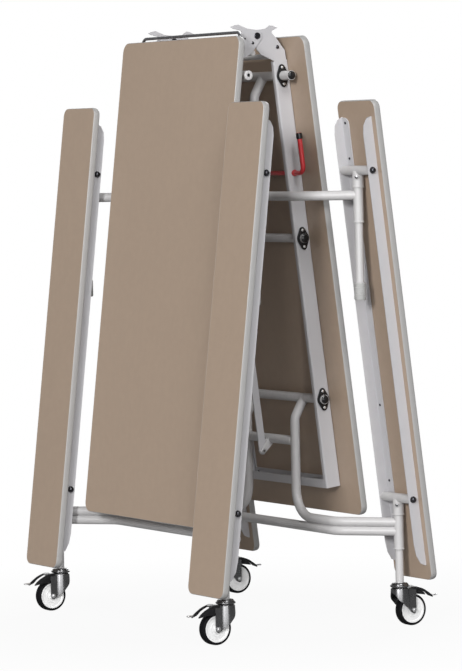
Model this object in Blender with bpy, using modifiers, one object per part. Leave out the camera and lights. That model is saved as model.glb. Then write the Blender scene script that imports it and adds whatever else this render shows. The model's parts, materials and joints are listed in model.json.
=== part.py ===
"""Folding canteen table with attached benches, modelled folded up on its castors.

Units are metres, +Z is up, and the origin is on the floor under the centre hinge.
X runs across the table from bench to bench, and Y runs along it, so it unfolds along Y.
The two halves are the same design: the front half is the rear half turned half round,
with hinge plates of a slightly different outline.
Tops, seats and links are drawn laid flat, then turned up by FOLD about their own pivots.
"""

from math import atan2, cos, pi, radians, sin, tan

import bmesh
import bpy
from mathutils import Matrix, Vector

# Clearances
GAP = 0.0003
RUNNING = 0.0004
WELD = 0.00001

# Fold and linkage
TILT = radians(7.0)
FOLD = pi / 2 - TILT
PIVOT_HEIGHT = 0.405
CRANK_REACH = 0.100
CRANK_DROP = 0.302
NEAR_BEARING_ALONG = 0.136
BEARING_SPAN = 1.038
BEARING_RISE = 0.076
LINK_PIN_BACK = 0.070
LINK_PIN_DROP = 0.176

# Boards and their edge bands
BOARD_THICK = 0.0205
EDGE_THICK = 0.0045
EDGE_LIP = 0.0004
TOP_WIDTH = 0.734
TOP_CORNER = 0.028
TOP_RISE = 0.124
TOP_START = 0.017
TOP_OVERHANG = 0.087
SEAT_WIDTH = 0.205
SEAT_CORNER = 0.022
SEAT_RISE = 0.041
SEAT_OVERHANG = 0.2115
SEAT_CLEAR = 0.0129
SEAT_X = 0.536

# Channel rails under the tops, with their hinge plates
RAIL_X = 0.262
RAIL_WALL = 0.004
RAIL_FLANGE = 0.016
RAIL_DEPTH = 0.053
RAIL_BEND = 0.005
RAIL_START = 0.088
RAIL_LAP = 0.006
RAIL_OVERHANG = 0.285
END_FLANGE = 0.027
EYE_RADIUS = 0.018
HORN_ROOT = (-0.018, 0.038)
HORN = ((-0.026, 0.054), (-0.0235, 0.065), (-0.0155, 0.0805), (-0.0115, 0.070))
FRONT_HORN_EXTRA = 0.0175
THROAT = ((-0.009, 0.060), (-0.004, 0.0565), (0.002, 0.060), (0.019, 0.073), (0.058, 0.097))
BELLY = ((0.0755, 0.0335), (0.0605, 0.009), (0.0445, -0.0035))
FRONT_BELLY_RISE = 0.009
HINGE_PIN_RADIUS = 0.006
HINGE_HEAD_RADIUS = 0.0105
HINGE_HEAD_THICK = 0.0025
TIE_RADIUS = 0.009
TIE_ALONG = 0.0545
TIE_RISE = 0.0075

# Tubular frames
TUBE_RADIUS = 0.015
SHORT_STUB = 0.318
LONG_STUB = 0.362
FLUSH_STUB = 0.008
UPRIGHT_X = 0.148
UPRIGHT_BACK = 0.0360
UPRIGHT_KNEE = 0.063
CROSS_DROP = 0.137
RUN_BELOW_PIVOT = 0.077
RUN_PITCH = 0.0285
RUN_BEND_X = 0.385
KNEE_BEND = 0.040
FOOT_BEND = 0.085
RUN_BEND = 0.070
BRACKET_WALL = 0.004
BRACKET_EYE = 0.011
LINK_PIN_RADIUS = 0.004
LINK_THICK = 0.006
LINK_WIDTH = 0.025

# Posts that carry the seats
SOCKET_RADIUS = 0.018
SOCKET_END = 0.054
SLEEVE_RADIUS = 0.0150
SLEEVE_END = 0.166
STEM_RADIUS = 0.0123
FOOT_RADIUS = 0.0175
FOOT_LENGTH = 0.038
FOOT_CLEARANCE = 0.001
SPIGOT_RADIUS = 0.006
SPIGOT_OUT = 0.009

# Steel angles under the seats
SUPPORT_HALF = 0.084
SUPPORT_WALL = 0.003
SUPPORT_DEPTH = 0.036
SUPPORT_FLAT = 0.037
SUPPORT_INNER_INSET = 0.046
SUPPORT_OUTER_INSET = 0.044
SUPPORT_INNER_NOSE = 0.050
SUPPORT_OUTER_NOSE = 0.070
SUPPORT_TIP = 0.004
SUPPORT_FLAT_INSET = 0.002
SUPPORT_FLAT_ROUND = 0.022

# Castors
WHEEL_RADIUS = 0.050
WHEEL_WIDTH = 0.032
WHEEL_SHOULDER = 0.006
DISC_RADIUS = 0.041
DISC_INSET = 0.003
HUB_RADIUS = 0.012
AXLE_RADIUS = 0.005
AXLE_OUT = 0.004
TRAIL = 0.039
FORK_HALF = 0.0255
FORK_WALL = 0.006
FORK_FRONT = 0.030
FORK_BACK = 0.052
FORK_ROOF = 0.110
FORK_ROOF_WALL = 0.0055
FORK_NOSE = 0.092
FORK_TIP = 0.014
HEAD_RADIUS = 0.027
HEAD_TOP = 0.137
KINGPIN_RADIUS = 0.006
KINGPIN_DEPTH = 0.010
PEDAL_PIVOT_BACK = 0.045
PEDAL_HUB = 0.005
PEDAL_LIFT = 0.0015
PEDAL_CLEAR = 0.004
PEDAL_PIN_RADIUS = 0.003
PEDAL_HALF = 0.0135
PEDAL_REACH = 0.0765
PEDAL_FALL = 0.0208
PEDAL_CROWN = ((0.0245, 0.0042), (0.0453, -0.0065))
PEDAL_TIP = 0.004
PEDAL_TONGUE = 0.0165
PEDAL_BELLY = (0.038, -0.0195)
PEDAL_EAR = 0.004

# Latch lever and top handle
LATCH_RADIUS = 0.008
LATCH_ALONG = 0.446
LATCH_X = 0.318
LATCH_LENGTH = 0.128
LATCH_BEND = 0.024
HANDLE_RADIUS = 0.005
HANDLE_X = 0.310
HANDLE_ALONG = 0.001
HANDLE_RISE = 0.087
HANDLE_LEG = 0.074
HANDLE_BEND = 0.022

# Smoothness of round shapes
TUBE_STEPS = 3
ROD_STEPS = 2
HOLE_SIDES = 16
TURN_SIDES = 12
WHEEL_SIDES = 20
BEND_STEPS = 3
CORNER_STEPS = 3
EDGE_STEPS = 5
EYE_STEPS = 5
NOSE_STEPS = 8
SHARP = radians(35)
TOE_START = radians(-68)
PEDAL_HEEL = radians(260)
FORK_TIP_START = radians(165)
FORK_TIP_END = radians(335)

# Finishes: colour, roughness, metallic
FINISHES = {
    "laminate": ((0.36, 0.28, 0.21), 0.45, 0.0),
    "edge_band": ((0.60, 0.60, 0.58), 0.40, 0.0),
    "powder_coat": ((0.62, 0.60, 0.60), 0.35, 0.2),
    "rail_coat": ((0.60, 0.58, 0.62), 0.38, 0.2),
    "steel": ((0.45, 0.45, 0.46), 0.30, 1.0),
    "fork_grey": ((0.10, 0.10, 0.11), 0.40, 0.0),
    "tyre_black": ((0.02, 0.02, 0.02), 0.60, 0.0),
    "pedal_black": ((0.05, 0.05, 0.05), 0.50, 0.0),
    "latch_red": ((0.55, 0.05, 0.05), 0.40, 0.0),
    "chrome": ((0.80, 0.80, 0.82), 0.10, 1.0),
}

# Worked out from the sizes above
PEDAL_PIVOT_HEIGHT = FORK_ROOF + PEDAL_HUB + PEDAL_LIFT
ALONG = Vector((0.0, sin(TILT), -cos(TILT)))
OUTWARD = Vector((0.0, cos(TILT), sin(TILT)))
FAR_BEARING_ALONG = NEAR_BEARING_ALONG + BEARING_SPAN
FAR_BEARING_Y = ALONG.y * FAR_BEARING_ALONG + OUTWARD.y * BEARING_RISE
FAR_BEARING = Vector((0.0, FAR_BEARING_Y, PIVOT_HEIGHT + CRANK_DROP))
NEAR_BEARING = FAR_BEARING - ALONG * BEARING_SPAN
HINGE = FAR_BEARING - ALONG * FAR_BEARING_ALONG - OUTWARD * BEARING_RISE
FAR_SEAT_PIVOT = FAR_BEARING + Vector((0.0, CRANK_REACH, -CRANK_DROP))
FAR_LINK_PIN = FAR_BEARING + Vector((0.0, -LINK_PIN_BACK, -LINK_PIN_DROP))
MID_BEARING = NEAR_BEARING_ALONG + BEARING_SPAN / 2
RUN_DROP = CRANK_DROP + RUN_BELOW_PIVOT
COPE_LENGTH = 2 * (RUN_PITCH + 2 * TUBE_RADIUS)
POST_TOP = TUBE_RADIUS / 4
RAIL_TOP = TOP_RISE - BOARD_THICK - GAP
RAIL_BOTTOM = RAIL_TOP - RAIL_DEPTH
RAIL_END = FAR_BEARING_ALONG + RAIL_OVERHANG
TOP_END = RAIL_END + TOP_OVERHANG
SEAT_INNER_END = -BEARING_SPAN - SEAT_OVERHANG
SEAT_OUTER_END = (PIVOT_HEIGHT - HEAD_TOP - SEAT_CLEAR) / cos(TILT)
PLATE_SHIFT = RAIL_WALL + GAP
AXIS_X = Matrix.Rotation(pi / 2, 4, "Y")
SIDE_ON = Matrix(((0, 0, 1, 0), (1, 0, 0, 0), (0, 1, 0, 0), (0, 0, 0, 1)))
END_ON = Matrix.Rotation(pi / 2, 4, "X")


# Scene housekeeping

def clear_scene():
    for old in list(bpy.data.objects):
        bpy.data.objects.remove(old)


def collection(name):
    made = bpy.data.collections.new(name)
    bpy.context.scene.collection.children.link(made)
    return made


def make_finishes():
    made = {}
    for name, (colour, roughness, metallic) in FINISHES.items():
        finish = bpy.data.materials.new(name)
        finish.use_nodes = True
        shader = finish.node_tree.nodes["Principled BSDF"]
        shader.inputs["Base Color"].default_value = (*colour, 1.0)
        shader.inputs["Roughness"].default_value = roughness
        shader.inputs["Metallic"].default_value = metallic
        made[name] = finish
    return made


# Basic shapes, each returned as a closed mesh object on the workbench

def on_workbench(data):
    made = bpy.data.objects.new("blank", data)
    bpy.data.collections["workbench"].objects.link(made)
    return made


def settled(made):
    """Replace a curve or a modified object with the plain welded mesh it stands for."""
    graph = bpy.context.evaluated_depsgraph_get()
    mesh = bpy.data.meshes.new_from_object(made.evaluated_get(graph))
    mesh.transform(made.matrix_world)
    bpy.data.objects.remove(made)
    shape = bmesh.new()
    shape.from_mesh(mesh)
    bmesh.ops.remove_doubles(shape, verts=shape.verts, dist=WELD)
    bmesh.ops.dissolve_degenerate(shape, edges=shape.edges, dist=WELD)
    bmesh.ops.recalc_face_normals(shape, faces=shape.faces)
    shape.to_mesh(mesh)
    shape.free()
    return on_workbench(mesh)


def moved(made, matrix):
    made.data.transform(matrix)
    made.data.update()
    return made


def add_line(curve, points, closed):
    spline = curve.splines.new("POLY")
    spline.points.add(len(points) - 1)
    spline.use_cyclic_u = closed
    for knot, point in zip(spline.points, points):
        knot.co = (*Vector(point).to_3d(), 1.0)


def tube(points, radius, roundness=TUBE_STEPS):
    """A round bar swept along points."""
    curve = bpy.data.curves.new("tube", "CURVE")
    curve.dimensions = "3D"
    curve.bevel_depth = radius
    curve.bevel_resolution = roundness
    curve.use_fill_caps = True
    add_line(curve, points, False)
    return settled(on_workbench(curve))


def plate(outlines, thickness, matrix):
    """A flat piece cut to outlines, the first its edge and the others its holes."""
    curve = bpy.data.curves.new("plate", "CURVE")
    curve.dimensions = "2D"
    curve.fill_mode = "BOTH"
    curve.extrude = thickness / 2
    for outline in outlines:
        add_line(curve, outline, True)
    return moved(settled(on_workbench(curve)), matrix)


def cylinder(centre, radius, length, matrix=Matrix(), sides=HOLE_SIDES):
    """A cylinder along Z turned by matrix and set down at centre."""
    shape = bmesh.new()
    bmesh.ops.create_cone(shape, cap_ends=True, segments=sides, radius1=radius, radius2=radius, depth=length)
    mesh = bpy.data.meshes.new("cylinder")
    shape.to_mesh(mesh)
    shape.free()
    mesh.transform(Matrix.Translation(Vector(centre)) @ matrix)
    return on_workbench(mesh)


def turned(profile, matrix=Matrix(), sides=TURN_SIDES, ring=False):
    """A shape turned about Z from a profile of radius and height, from top to bottom."""
    mesh = bpy.data.meshes.new("profile")
    points = [(radius, 0.0, height) for radius, height in profile]
    edges = [(i, i + 1) for i in range(len(points) - 1)]
    if ring:
        edges.append((len(points) - 1, 0))
    mesh.from_pydata(points, edges, [])
    made = on_workbench(mesh)
    screw = made.modifiers.new("turn", "SCREW")
    screw.angle = 2 * pi
    screw.steps = sides
    screw.render_steps = sides
    screw.use_merge_vertices = True
    screw.merge_threshold = WELD
    return moved(settled(made), matrix)


def combined(base, others, operation):
    for other in others:
        step = base.modifiers.new(operation.lower(), "BOOLEAN")
        step.operation = operation
        step.solver = "EXACT"
        step.object = other
        other.hide_render = True
        other.display_type = "WIRE"
    bpy.context.view_layer.update()
    made = settled(base)
    for other in others:
        bpy.data.objects.remove(other)
    return made


def fused(base, *others):
    return combined(base, others, "UNION")


def cut(base, *others):
    return combined(base, others, "DIFFERENCE")


def shared(base, *others):
    return combined(base, others, "INTERSECT")


# Outlines and paths

def arc(centre, radius, start, end, steps):
    """Points on an arc from one angle to another, both ends included."""
    turns = [start + (end - start) * i / steps for i in range(steps + 1)]
    return [(centre[0] + radius * cos(turn), centre[1] + radius * sin(turn)) for turn in turns]


def circle(centre, radius, sides=HOLE_SIDES):
    return arc(centre, radius, 0.0, 2 * pi * (1 - 1 / sides), sides - 1)


def running(shaft_radius, sides=HOLE_SIDES):
    """Radius of a bore whose flats still clear a turning shaft of shaft_radius."""
    return (shaft_radius + RUNNING / 2) / cos(pi / sides)


def hole(centre, shaft_radius):
    return circle(centre, running(shaft_radius))


def rounded_rectangle(low, high, radius):
    points = []
    corners = ((high.x, high.y), (low.x, high.y), (low.x, low.y), (high.x, low.y))
    inward = ((-1, -1), (1, -1), (1, 1), (-1, 1))
    for quarter, (corner, step) in enumerate(zip(corners, inward)):
        centre = Vector(corner) + radius * Vector(step)
        points += arc(centre, radius, quarter * pi / 2, (quarter + 1) * pi / 2, CORNER_STEPS)
    return points


def bent(points, radii):
    """A path through points whose inner corners are rounded, one radius for each."""
    path = [Vector(points[0])]
    for before, corner, after, radius in zip(points, points[1:], points[2:], radii):
        corner = Vector(corner)
        back = (Vector(before) - corner).normalized()
        onward = (Vector(after) - corner).normalized()
        opening = back.angle(onward)
        setback = radius / tan(opening / 2)
        centre = corner + (back + onward).normalized() * radius / sin(opening / 2)
        start = corner + back * setback - centre
        finish = corner + onward * setback - centre
        sweep = start.angle(finish)
        for i in range(BEND_STEPS + 1):
            share = i / BEND_STEPS
            blend = start * sin((1 - share) * sweep) + finish * sin(share * sweep)
            path.append(centre + blend / sin(sweep))
    path.append(Vector(points[-1]))
    return path


# Placing finished pieces

class Station:
    """A parent empty on a joint's axis, with the drawing point that sits on it."""

    def __init__(self, name, parent, place, turn=0.0, drawn_at=(0.0, 0.0, 0.0)):
        self.empty = bpy.data.objects.new(name, None)
        bpy.data.collections["axes"].objects.link(self.empty)
        self.empty.parent = parent
        self.empty.location = place
        self.empty.rotation_euler = (turn, 0.0, 0.0)
        self.drawn_at = Vector(drawn_at)

    def add(self, name, made, finish, at=(0.0, 0.0, 0.0)):
        """Name a shape and hang it on this station, its own origin at the drawing point at."""
        made.name = name
        made.data.name = name
        made.parent = self.empty
        made.location = Vector(at) - self.drawn_at
        bpy.data.collections["workbench"].objects.unlink(made)
        bpy.data.collections["folding_table"].objects.link(made)
        own = bpy.data.materials[finish].copy()
        own.name = name
        made.data.materials.clear()
        made.data.materials.append(own)
        made.data.shade_smooth()
        made.data.set_sharp_from_angle(angle=SHARP)


# Boards

def board(low, high, corner, rise):
    outline = rounded_rectangle(low, high, corner)
    return plate([outline], BOARD_THICK, Matrix.Translation((0, 0, rise - BOARD_THICK / 2)))


def edge_band(low, high, corner, rise):
    """A rounded strip that runs once round a board."""
    gap = Vector((GAP, GAP))
    spine = bpy.data.curves.new("spine", "CURVE")
    spine.dimensions = "2D"
    add_line(spine, rounded_rectangle(low - gap, high + gap, corner + GAP), True)
    half = BOARD_THICK / 2 + EDGE_LIP
    section = bpy.data.curves.new("section", "CURVE")
    section.dimensions = "2D"
    nose = arc((0.0, 0.0), 1.0, pi / 2, -pi / 2, EDGE_STEPS)
    add_line(section, [(-EDGE_THICK * out, half * up) for out, up in nose], True)
    guide = on_workbench(section)
    spine.bevel_mode = "OBJECT"
    spine.bevel_object = guide
    made = settled(on_workbench(spine))
    bpy.data.objects.remove(guide)
    return moved(made, Matrix.Translation((0, 0, rise - BOARD_THICK / 2)))


# Table tops

def hinge_plate(horn_extra, belly_rise):
    """Outline of a hinge plate and its eye, drawn along and out of the top."""
    toe = arc((0.0, 0.0), EYE_RADIUS, TOE_START, -pi, EYE_STEPS)
    horn = [(along, out + horn_extra) for along, out in HORN]
    belly = [(along, out + belly_rise) for along, out in BELLY]
    low = RAIL_BOTTOM + RAIL_BEND + GAP
    high = RAIL_TOP - RAIL_BEND - GAP
    lap = RAIL_START + RAIL_LAP
    edge = [(lap, low), (RAIL_START, low), *belly, *toe, HORN_ROOT, *horn, *THROAT]
    edge += [(RAIL_START, high), (lap, high)]
    return [edge, hole((0.0, 0.0), HINGE_PIN_RADIUS)]


def rail_channel(outer):
    """Section of a rail that opens toward the middle, its web's outer face at outer."""
    tip = outer - RAIL_FLANGE
    inner = outer - RAIL_WALL
    bend = outer - RAIL_BEND
    section = [(tip, RAIL_BOTTOM)]
    section += arc((bend, RAIL_BOTTOM + RAIL_BEND), RAIL_BEND, -pi / 2, 0.0, CORNER_STEPS)
    section += arc((bend, RAIL_TOP - RAIL_BEND), RAIL_BEND, 0.0, pi / 2, CORNER_STEPS)
    section += [(tip, RAIL_TOP), (tip, RAIL_TOP - RAIL_WALL), (inner, RAIL_TOP - RAIL_WALL)]
    return section + [(inner, RAIL_BOTTOM + RAIL_WALL), (tip, RAIL_BOTTOM + RAIL_WALL)]


def rail(outer, side, lug_shape):
    """A bent channel rail with its hinge plate, bored for the tubes, the hinge pin and the latch."""
    middle = side * (outer - RAIL_WALL / 2)
    lug = plate(hinge_plate(*lug_shape), RAIL_WALL, Matrix.Translation((middle, 0, 0)) @ SIDE_ON)
    section = [(side * across, up) for across, up in rail_channel(outer)]
    place = Matrix.Translation((0, (RAIL_START + RAIL_END) / 2, 0)) @ END_ON
    channel = plate([section], RAIL_END - RAIL_START, place)
    drills = [cylinder((middle, LATCH_ALONG, BEARING_RISE), running(LATCH_RADIUS), RAIL_FLANGE, AXIS_X)]
    for along in (NEAR_BEARING_ALONG, MID_BEARING, FAR_BEARING_ALONG):
        drills.append(cylinder((middle, along, BEARING_RISE), running(TUBE_RADIUS), RAIL_FLANGE, AXIS_X))
    return fused(cut(channel, *drills), lug)


def end_rail(left, right):
    """The channel across the outer end of a top, between the rails."""
    back = RAIL_END - END_FLANGE
    mouth = RAIL_END - RAIL_WALL
    low = RAIL_BOTTOM + RAIL_WALL
    high = RAIL_TOP - RAIL_WALL
    outline = [(back, RAIL_BOTTOM), (RAIL_END, RAIL_BOTTOM), (RAIL_END, RAIL_TOP), (back, RAIL_TOP)]
    outline += [(back, high), (mouth, high), (mouth, low), (back, low)]
    return plate([outline], right - left, Matrix.Translation(((left + right) / 2, 0, 0)) @ SIDE_ON)


def cross_bar(left, right, along, rise, radius):
    return tube([(left, along, rise), (right, along, rise)], radius)


def build_top(half, station, names, lug_shape):
    low = Vector((-TOP_WIDTH / 2, TOP_START))
    high = Vector((TOP_WIDTH / 2, TOP_END))
    right = RAIL_X
    left = -RAIL_X - PLATE_SHIFT
    station.add(half + "_top_panel", board(low, high, TOP_CORNER, TOP_RISE), "laminate")
    station.add(half + "_top_edge", edge_band(low, high, TOP_CORNER, TOP_RISE), "edge_band")
    station.add(half + "_rail_" + names[1], rail(right, 1, lug_shape), "rail_coat")
    station.add(half + "_rail_" + names[-1], rail(-left, -1, lug_shape), "rail_coat")
    inner_left = left + RAIL_FLANGE + GAP
    inner_right = right - RAIL_FLANGE - GAP
    station.add(half + "_end_rail", end_rail(inner_left, inner_right), "rail_coat")
    middle = cross_bar(left - FLUSH_STUB, right + FLUSH_STUB, MID_BEARING, BEARING_RISE, TUBE_RADIUS)
    station.add(half + "_mid_tube", middle, "powder_coat")
    tie = cross_bar(left + RAIL_WALL + GAP, right - RAIL_WALL - GAP, TIE_ALONG, TIE_RISE, TIE_RADIUS)
    station.add(half + "_tie_tube", tie, "powder_coat")


def hinge_pin(side):
    """A headed pin through both hinge plates at one end of the hinge."""
    inner = RAIL_X - RAIL_WALL - GAP
    outer = RAIL_X + PLATE_SHIFT + GAP
    profile = [
        (0.0, outer + HINGE_HEAD_THICK),
        (HINGE_HEAD_RADIUS, outer + HINGE_HEAD_THICK),
        (HINGE_HEAD_RADIUS, outer),
        (HINGE_PIN_RADIUS, outer),
        (HINGE_PIN_RADIUS, inner),
        (HINGE_HEAD_RADIUS, inner),
        (HINGE_HEAD_RADIUS, inner - HINGE_HEAD_THICK),
        (0.0, inner - HINGE_HEAD_THICK),
    ]
    return turned(profile, Matrix.Rotation(side * pi / 2, 4, "Y"))


# Tubular frames

def upright(side):
    """One leg tube: it hangs from the bearing tube, drops, then runs out to a post."""
    x = side * UPRIGHT_X
    points = [
        (x, 0.0, 0.0),
        (x, -UPRIGHT_BACK, -UPRIGHT_KNEE),
        (x, -UPRIGHT_BACK, -RUN_DROP),
        (side * RUN_BEND_X, -UPRIGHT_BACK, -RUN_DROP),
        (side * SEAT_X, CRANK_REACH, -RUN_DROP),
    ]
    return tube(bent(points, (KNEE_BEND, FOOT_BEND, RUN_BEND)), TUBE_RADIUS)


def low_run():
    """The second tube of a castor frame, from post to post under the first."""
    drop = -RUN_DROP - RUN_PITCH
    points = [
        (-SEAT_X, CRANK_REACH, drop),
        (-RUN_BEND_X, -UPRIGHT_BACK, drop),
        (RUN_BEND_X, -UPRIGHT_BACK, drop),
        (SEAT_X, CRANK_REACH, drop),
    ]
    return tube(bent(points, (RUN_BEND, RUN_BEND)), TUBE_RADIUS)


def link_bracket():
    """The ear on a cross tube that holds a link bar's pin."""
    near = Vector((-UPRIGHT_BACK, -CROSS_DROP))
    far = Vector((-LINK_PIN_BACK, -LINK_PIN_DROP))
    heading = atan2(far.y - near.y, far.x - near.x)
    edge = arc(far, BRACKET_EYE, heading - pi / 2, heading + pi / 2, EYE_STEPS)
    edge += arc(near, BRACKET_EYE, heading + pi / 2, heading + 3 * pi / 2, CORNER_STEPS)
    inner = LINK_THICK / 2 + GAP
    middle = inner + BRACKET_WALL / 2
    ear = plate([edge], BRACKET_WALL, Matrix.Translation((middle, 0, 0)) @ SIDE_ON)
    centre = ((middle - inner) / 2, far.x, far.y)
    return ear, cylinder(centre, LINK_PIN_RADIUS, middle + inner, AXIS_X, TURN_SIDES)


def tubular_frame(left, right, with_low_run):
    """A frame welded up from tubes, its bearing tube on the origin, cut to seat on its posts."""
    bearing = tube([(left, 0.0, 0.0), (right, 0.0, 0.0)], TUBE_RADIUS)
    cross = cross_bar(-UPRIGHT_X, UPRIGHT_X, -UPRIGHT_BACK, -CROSS_DROP, TUBE_RADIUS)
    parts = [upright(1), upright(-1), cross, *link_bracket()]
    if with_low_run:
        parts.append(low_run())
    made = fused(bearing, *parts)
    copes = []
    cope_radius = (SLEEVE_RADIUS + GAP) / cos(pi / TURN_SIDES)
    for side in (1, -1):
        centre = (side * SEAT_X, CRANK_REACH, -RUN_DROP)
        copes.append(cylinder(centre, cope_radius, COPE_LENGTH, sides=TURN_SIDES))
    return cut(made, *copes)


# Posts

def seat_axle():
    """The tube that a seat swings on, with a spigot at each end for the seat's angles."""
    shoulder = SUPPORT_HALF - SUPPORT_WALL - GAP
    end = SUPPORT_HALF + SPIGOT_OUT
    profile = [
        (0.0, end),
        (SPIGOT_RADIUS, end),
        (SPIGOT_RADIUS, shoulder),
        (TUBE_RADIUS, shoulder),
        (TUBE_RADIUS, -shoulder),
        (SPIGOT_RADIUS, -shoulder),
        (SPIGOT_RADIUS, -end),
        (0.0, -end),
    ]
    return turned(profile, AXIS_X)


def post(tail):
    """A stepped post under a seat axle, ended by the radius and depth pairs in tail."""
    profile = [
        (0.0, -POST_TOP),
        (SOCKET_RADIUS, -POST_TOP),
        (SOCKET_RADIUS, -SOCKET_END),
        (SLEEVE_RADIUS, -SOCKET_END),
        (SLEEVE_RADIUS, -SLEEVE_END),
        (STEM_RADIUS, -SLEEVE_END),
    ]
    profile += [(radius, -depth) for radius, depth in tail]
    return fused(turned(profile), seat_axle())


def castor_post():
    """A post whose stem ends in a castor's kingpin."""
    end = PIVOT_HEIGHT - HEAD_TOP - GAP
    tip = end + KINGPIN_DEPTH
    return post([(STEM_RADIUS, end), (KINGPIN_RADIUS, end), (KINGPIN_RADIUS, tip), (0.0, tip)])


def leg_post():
    """A post whose stem ends in a floor foot."""
    end = PIVOT_HEIGHT - FOOT_CLEARANCE
    collar = end - FOOT_LENGTH
    return post([(STEM_RADIUS, collar), (FOOT_RADIUS, collar), (FOOT_RADIUS, end), (0.0, end)])


# Seats

def seat_angle(outer, toward):
    """A steel angle under a seat: a tapered upright leg and a flat leg toward the seat's middle."""
    high = SEAT_RISE - BOARD_THICK - GAP
    low = high - SUPPORT_DEPTH
    inner_end = SEAT_INNER_END + SUPPORT_INNER_INSET
    outer_end = SEAT_OUTER_END - SUPPORT_OUTER_INSET
    tip = high - SUPPORT_TIP
    nose = arc((0.0, 0.0), 1.0, pi, 3 * pi / 2, CORNER_STEPS)
    inner_nose = inner_end + SUPPORT_INNER_NOSE
    outer_nose = outer_end - SUPPORT_OUTER_NOSE
    edge = [(inner_end, high)]
    edge += [(inner_nose + SUPPORT_INNER_NOSE * x, tip + (tip - low) * y) for x, y in nose]
    edge += [(outer_nose - SUPPORT_OUTER_NOSE * x, tip + (tip - low) * y) for x, y in reversed(nose)]
    edge += [(outer_end, high)]
    holes = [hole((0.0, 0.0), SPIGOT_RADIUS), hole((-BEARING_SPAN, 0.0), SPIGOT_RADIUS)]
    root = outer + toward * SUPPORT_WALL / 2
    leg = plate([edge] + holes, SUPPORT_WALL, Matrix.Translation((root, 0, 0)) @ SIDE_ON)
    start = inner_end + SUPPORT_FLAT_INSET
    end = outer_end - SUPPORT_FLAT_INSET
    bend = SUPPORT_FLAT - SUPPORT_FLAT_ROUND
    rim = arc((bend, start + SUPPORT_FLAT_ROUND), SUPPORT_FLAT_ROUND, -pi / 2, 0.0, CORNER_STEPS)
    rim += arc((bend, end - SUPPORT_FLAT_ROUND), SUPPORT_FLAT_ROUND, 0.0, pi / 2, CORNER_STEPS)
    middle = SUPPORT_WALL / 2
    outline = [(outer + toward * x, y) for x, y in [(middle, start), *rim, (middle, end)]]
    return fused(leg, plate([outline], SUPPORT_WALL, Matrix.Translation((0, 0, high - middle))))


def build_seat(name, station, side):
    middle = side * SEAT_X
    low = Vector((middle - SEAT_WIDTH / 2, SEAT_INNER_END))
    high = Vector((middle + SEAT_WIDTH / 2, SEAT_OUTER_END))
    station.add(name + "_seat_panel", board(low, high, SEAT_CORNER, SEAT_RISE), "laminate")
    station.add(name + "_seat_edge", edge_band(low, high, SEAT_CORNER, SEAT_RISE), "edge_band")
    for label, hand in (("outer", side), ("inner", -side)):
        made = seat_angle(middle + hand * SUPPORT_HALF, -hand)
        station.add(name + "_" + label + "_angle", made, "rail_coat")


# Link bars

def link_bar():
    """A flat bar with a hole at each end, from its far pin back to its near pin."""
    half = LINK_WIDTH / 2
    edge = arc((0.0, 0.0), half, -pi / 2, pi / 2, EYE_STEPS)
    edge += arc((-BEARING_SPAN, 0.0), half, pi / 2, 3 * pi / 2, EYE_STEPS)
    holes = [hole((0.0, 0.0), LINK_PIN_RADIUS), hole((-BEARING_SPAN, 0.0), LINK_PIN_RADIUS)]
    return plate([edge] + holes, LINK_THICK, SIDE_ON)


# Castors, drawn with the wheel trailing along +Y and the kingpin on the origin

def fork_hood():
    """The bent hood of a fork, rounded at the front and hollow for the wheel."""
    side_outline = [(-FORK_FRONT, FORK_ROOF), (-FORK_FRONT, FORK_NOSE)]
    side_outline += arc((TRAIL, WHEEL_RADIUS), FORK_TIP, FORK_TIP_START, FORK_TIP_END, CORNER_STEPS)
    side_outline += [(FORK_BACK, FORK_NOSE - FORK_TIP), (FORK_BACK, FORK_ROOF)]
    centre = (0.0, FORK_HALF - FORK_FRONT)
    plan = arc(centre, FORK_HALF, pi, 2 * pi, NOSE_STEPS)
    plan += [(FORK_HALF, FORK_BACK), (-FORK_HALF, FORK_BACK)]
    slab = plate([plan], 2 * FORK_ROOF, Matrix.Translation((0, 0, FORK_ROOF / 2)))
    hollow = FORK_HALF - FORK_WALL
    throat = arc(centre, hollow, pi, 2 * pi, EYE_STEPS)
    throat += [(hollow, 2 * FORK_BACK), (-hollow, 2 * FORK_BACK)]
    ceiling = FORK_ROOF - FORK_ROOF_WALL
    hood = shared(plate([side_outline], 2 * FORK_HALF, SIDE_ON), slab)
    return cut(hood, plate([throat], 2 * ceiling, Matrix()))


def pedal_ears(root):
    """Two ears that stand on a fork's roof, and the pin between them."""
    centre = (PEDAL_PIVOT_BACK, PEDAL_PIVOT_HEIGHT)
    outline = arc(centre, PEDAL_HUB, 0.0, pi, CORNER_STEPS)
    outline += [(PEDAL_PIVOT_BACK - PEDAL_HUB, root), (PEDAL_PIVOT_BACK + PEDAL_HUB, root)]
    middle = PEDAL_HALF + GAP + PEDAL_EAR / 2
    made = [cylinder((0, *centre), PEDAL_PIN_RADIUS, 2 * middle, AXIS_X, TURN_SIDES)]
    for side in (1, -1):
        made.append(plate([outline], PEDAL_EAR, Matrix.Translation((side * middle, 0, 0)) @ SIDE_ON))
    return made


def castor_fork():
    """A hooded fork with its swivel head, axle and brake pedal pin."""
    root = FORK_ROOF - FORK_ROOF_WALL / 2
    head = cylinder((0, 0, (root + HEAD_TOP) / 2), HEAD_RADIUS, HEAD_TOP - root)
    bolt = cylinder((0, TRAIL, WHEEL_RADIUS), AXLE_RADIUS, 2 * (FORK_HALF + AXLE_OUT), AXIS_X, TURN_SIDES)
    made = fused(fork_hood(), head, bolt, *pedal_ears(root))
    depth = KINGPIN_DEPTH + GAP
    bore = cylinder((0, 0, HEAD_TOP - depth / 2 + GAP), running(KINGPIN_RADIUS), depth + 2 * GAP)
    return cut(made, bore)


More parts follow.
